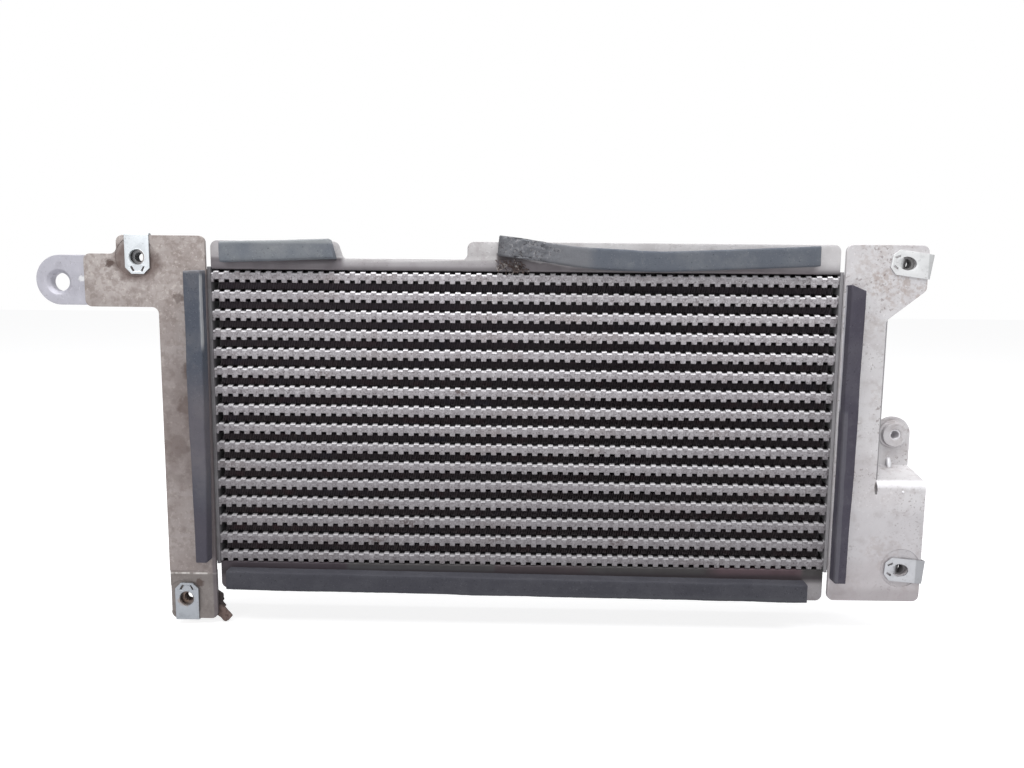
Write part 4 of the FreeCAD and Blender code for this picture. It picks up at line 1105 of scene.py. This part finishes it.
def rib_mesh(name, start, end, half_width, height):
    """A drop-shaped rib between two points, half sunk in the sheet."""
    way = (end - start) / 2
    side = Vector((1, 0, 0))
    out = side.cross(way).normalized()
    mesh = bpy.data.meshes.new(name)
    with editing(mesh) as work:
        bmesh.ops.create_uvsphere(work, u_segments=20, v_segments=12, radius=1.0)
        for vert in work.verts:
            across, along, up = vert.co
            moved = side * across * half_width + way * along + out * up * height
            vert.co = at(*((start + end) / 2 + moved))
    outward(mesh)
    smooth(mesh, 60)
    return mesh


# Painted highlight: the ribs are paler than the sheet round them.
rib_finish = Finish("pressed_rib", (222, 222, 225), 0.4, metallic=0.3).done()
for label, start, end in (
    ("rear", (233.1, 6.2, -23.0), (232.4, 2.0, -30.4)),
    ("front", (233.0, -12.5, -33.2), (231.6, -20.0, -40.4)),
):
    rib = rib_mesh(f"{label}_pressed_rib", Vector(start), Vector(end), 1.6, 1.0)
    stands_for(new_piece(f"{label}_pressed_rib", rib, rib_finish), "right_bracket_aluminium")
print("thread and ribs:", len(thread.polygons), "faces in the thread")

# %% The flake at the lower left corner
FLAKE = [
    (-192.5, -108.0), (-188.0, -111.6), (-187.3, -111.8), (-186.9, -113.1), (-187.1, -114.4),
    (-186.7, -115.7), (-187.6, -116.8), (-187.1, -118.0), (-186.4, -118.8), (-185.7, -119.8),
    (-186.4, -120.8), (-185.6, -121.8), (-184.4, -123.3), (-183.1, -124.6), (-181.7, -126.3),
    (-182.9, -127.8), (-184.2, -129.2), (-185.9, -130.0), (-187.2, -129.6), (-188.8, -127.6),
    (-190.5, -126.5), (-192.4, -123.0), (-193.5, -117.0),
]
flake_mesh = blank_mesh("sealing_flake", [FLAKE, ring((-185.2, -126.3), 0.6, 8, 0.7)], 1.1, 0.2)
for vert in flake_mesh.vertices:
    x, z, out = vert.co
    curl = 0.8 * noise.noise(Vector((x, z, 0)) * 0.16)
    vert.co = at(x, -15.4 - out + curl, z)
outward(flake_mesh)
smooth(flake_mesh, 30)
sealing = Finish("old_sealing", (112, 94, 89), 0.85)
sealing.layers(
    ((2.2, 4, 2, 0.45, 0.62), (78, 62, 58), 0.8), ((0.9, 3, 4, 0.6, 0.7), (168, 156, 150), 0.6),
    (("Z", -122, -118), (34, 28, 30), 0.9),
)
sealing.raised(sealing.grain(1.5, 4, 3), 0.3)
stands_for(new_piece("sealing_flake", flake_mesh, sealing.done()), "side_foam")
print("flake:", len(flake_mesh.polygons), "faces")

# %% Fibres under the peeled foam
chance = random.Random(12)
points, faces = [], []
for fibre in range(90):
    place = Vector((chance.uniform(-15.5, 1.5), chance.uniform(-17.6, -16.2), 0))
    place.z = chance.uniform(91.0, 96.2 - 0.12 * (place.x + 15.5))
    heading = Vector((chance.uniform(-1, 1), chance.uniform(-0.35, 0.1), chance.uniform(-0.8, 0.8)))
    heading.normalize()
    radius = chance.uniform(0.12, 0.34)
    first = len(points)
    for bend in range(4):
        side = heading.cross(Vector((0, 1, 0.2))).normalized() * radius
        lift = heading.cross(side).normalized() * radius
        points += [tuple(place + side), tuple(place - side * 0.5 + lift), tuple(place - side * 0.5 - lift)]
        heading = (heading + Vector([chance.uniform(-0.6, 0.6) for axis in range(3)])).normalized()
        place = place + heading * chance.uniform(0.7, 1.5)
        place.y = max(-18.2, min(-16.3, place.y))
    for low in range(first, first + 9, 3):
        faces += band(low, low + 3, 3)
    faces += [(first, first + 1, first + 2), (first + 11, first + 10, first + 9)]
fibre_mesh = mesh_from("foam_residue", points, faces)
outward(fibre_mesh, 1e-9)
fibres = Finish("foam_residue", (104, 90, 86), 0.9)
fibres.layers(
    ((2.5, 3, 2, 0.56, 0.62), (200, 194, 190), 0.9), ((3.5, 3, 5, 0.52, 0.6), (60, 48, 46), 0.8))
stands_for(new_piece("foam_residue", fibre_mesh, fibres.done()), "top_foam")
print("fibres:", len(fibre_mesh.polygons), "faces")

# %% [markdown]
# ## A first view
# The camera stands where the photograph was taken: straight in front, a little
# above the middle, tilted down by seven degrees. Its place was solved from points
# on the tubes and the brackets. The light is a large soft lamp from above and
# in front, which brightens the rolled tube edges, and a plain white surround.

# %% Camera, floor and light
SENSOR_WIDTH = 36
FOCAL_PIXELS, PICTURE_PIXELS = 796, 1024
YAW, PITCH, ROLL = (math.radians(angle) for angle in (0.90, -6.84, -0.55))

camera_data = bpy.data.cameras.new("camera")
camera_data.sensor_width = SENSOR_WIDTH
camera_data.lens = FOCAL_PIXELS / PICTURE_PIXELS * SENSOR_WIDTH
camera = new_piece("camera", camera_data)
turn = Matrix.Rotation(YAW, 3, "Z") @ Matrix.Rotation(PITCH, 3, "X") @ Matrix.Rotation(ROLL, 3, "Y")
looking = turn @ Matrix.Rotation(math.pi / 2, 3, "X")
camera.matrix_world = Matrix.Translation(at(1.3, -495.0, 80.6)) @ looking.to_4x4()
bpy.context.scene.camera = camera


def seen_directly(add):
    """One for rays from the camera, off a mirror or through glass, nought for others."""
    path = add("ShaderNodeLightPath").outputs
    seen = add("ShaderNodeMath", {0: path["Is Camera Ray"], 1: path["Is Glossy Ray"]}, operation="MAXIMUM")
    return add("ShaderNodeMath", {0: seen.outputs[0], 1: path["Is Transmission Ray"]},
               operation="MAXIMUM").outputs[0]


def backdrop_material(name, colour, glow):
    """White for the eye and for reflections, and a plain matte floor for shadows."""
    material = bpy.data.materials.new(name)
    material.use_nodes = True
    material.node_tree.nodes.clear()
    add = node_adder(material.node_tree)
    matte = add("ShaderNodeBsdfDiffuse", {"Color": colour}).outputs[0]
    light = add("ShaderNodeEmission", {"Strength": glow}).outputs[0]
    both = add("ShaderNodeAddShader", {0: matte, 1: light}).outputs[0]
    choose = add("ShaderNodeMixShader", {0: seen_directly(add), 1: matte, 2: both})
    add("ShaderNodeOutputMaterial", {"Surface": choose.outputs[0]})
    return material


FLOOR_HEIGHT = at(0, 0, -131).z
floor_corners = [(x, y, FLOOR_HEIGHT) for x, y in ((-6, -6), (6, -6), (6, 6), (-6, 6))]
floor_mesh = plain_mesh("floor", floor_corners, [(0, 1, 2, 3)])
floor = new_piece("floor", floor_mesh, backdrop_material("floor_white", (0.5, 0.5, 0.51, 1), 0.78))


def soft_lamp(name, size, power, place):
    """A wide area lamp that points at the middle of the core from a place in millimetres."""
    data = bpy.data.lights.new(name, "AREA")
    data.shape = "RECTANGLE"
    data.size, data.size_y = size
    data.energy = power
    lamp = new_piece(name, data)
    lamp.location = at(*place)
    lamp.rotation_euler = (at(0, 0, 0) - at(*place)).to_track_quat("-Z", "Y").to_euler()


soft_lamp("ceiling_light", (1.6, 1.0), 24, (0, -350, 1150))
soft_lamp("room_light", (2.0, 1.4), 6, (-300, -1500, 500))

world = bpy.data.worlds.new("surround")
bpy.context.scene.world = world
world.use_nodes = True
world.node_tree.nodes.clear()
add = node_adder(world.node_tree)
strength = add("ShaderNodeMapRange", {"Value": seen_directly(add), "To Min": 0.36, "To Max": 1.0})
sky = add("ShaderNodeBackground", {"Color": (1, 1, 1, 1), "Strength": strength.outputs[0]})
add("ShaderNodeOutputWorld", {"Surface": sky.outputs[0]})
bpy.context.scene.view_settings.view_transform = "Standard"
print("camera at", tuple(round(value, 3) for value in camera.location))
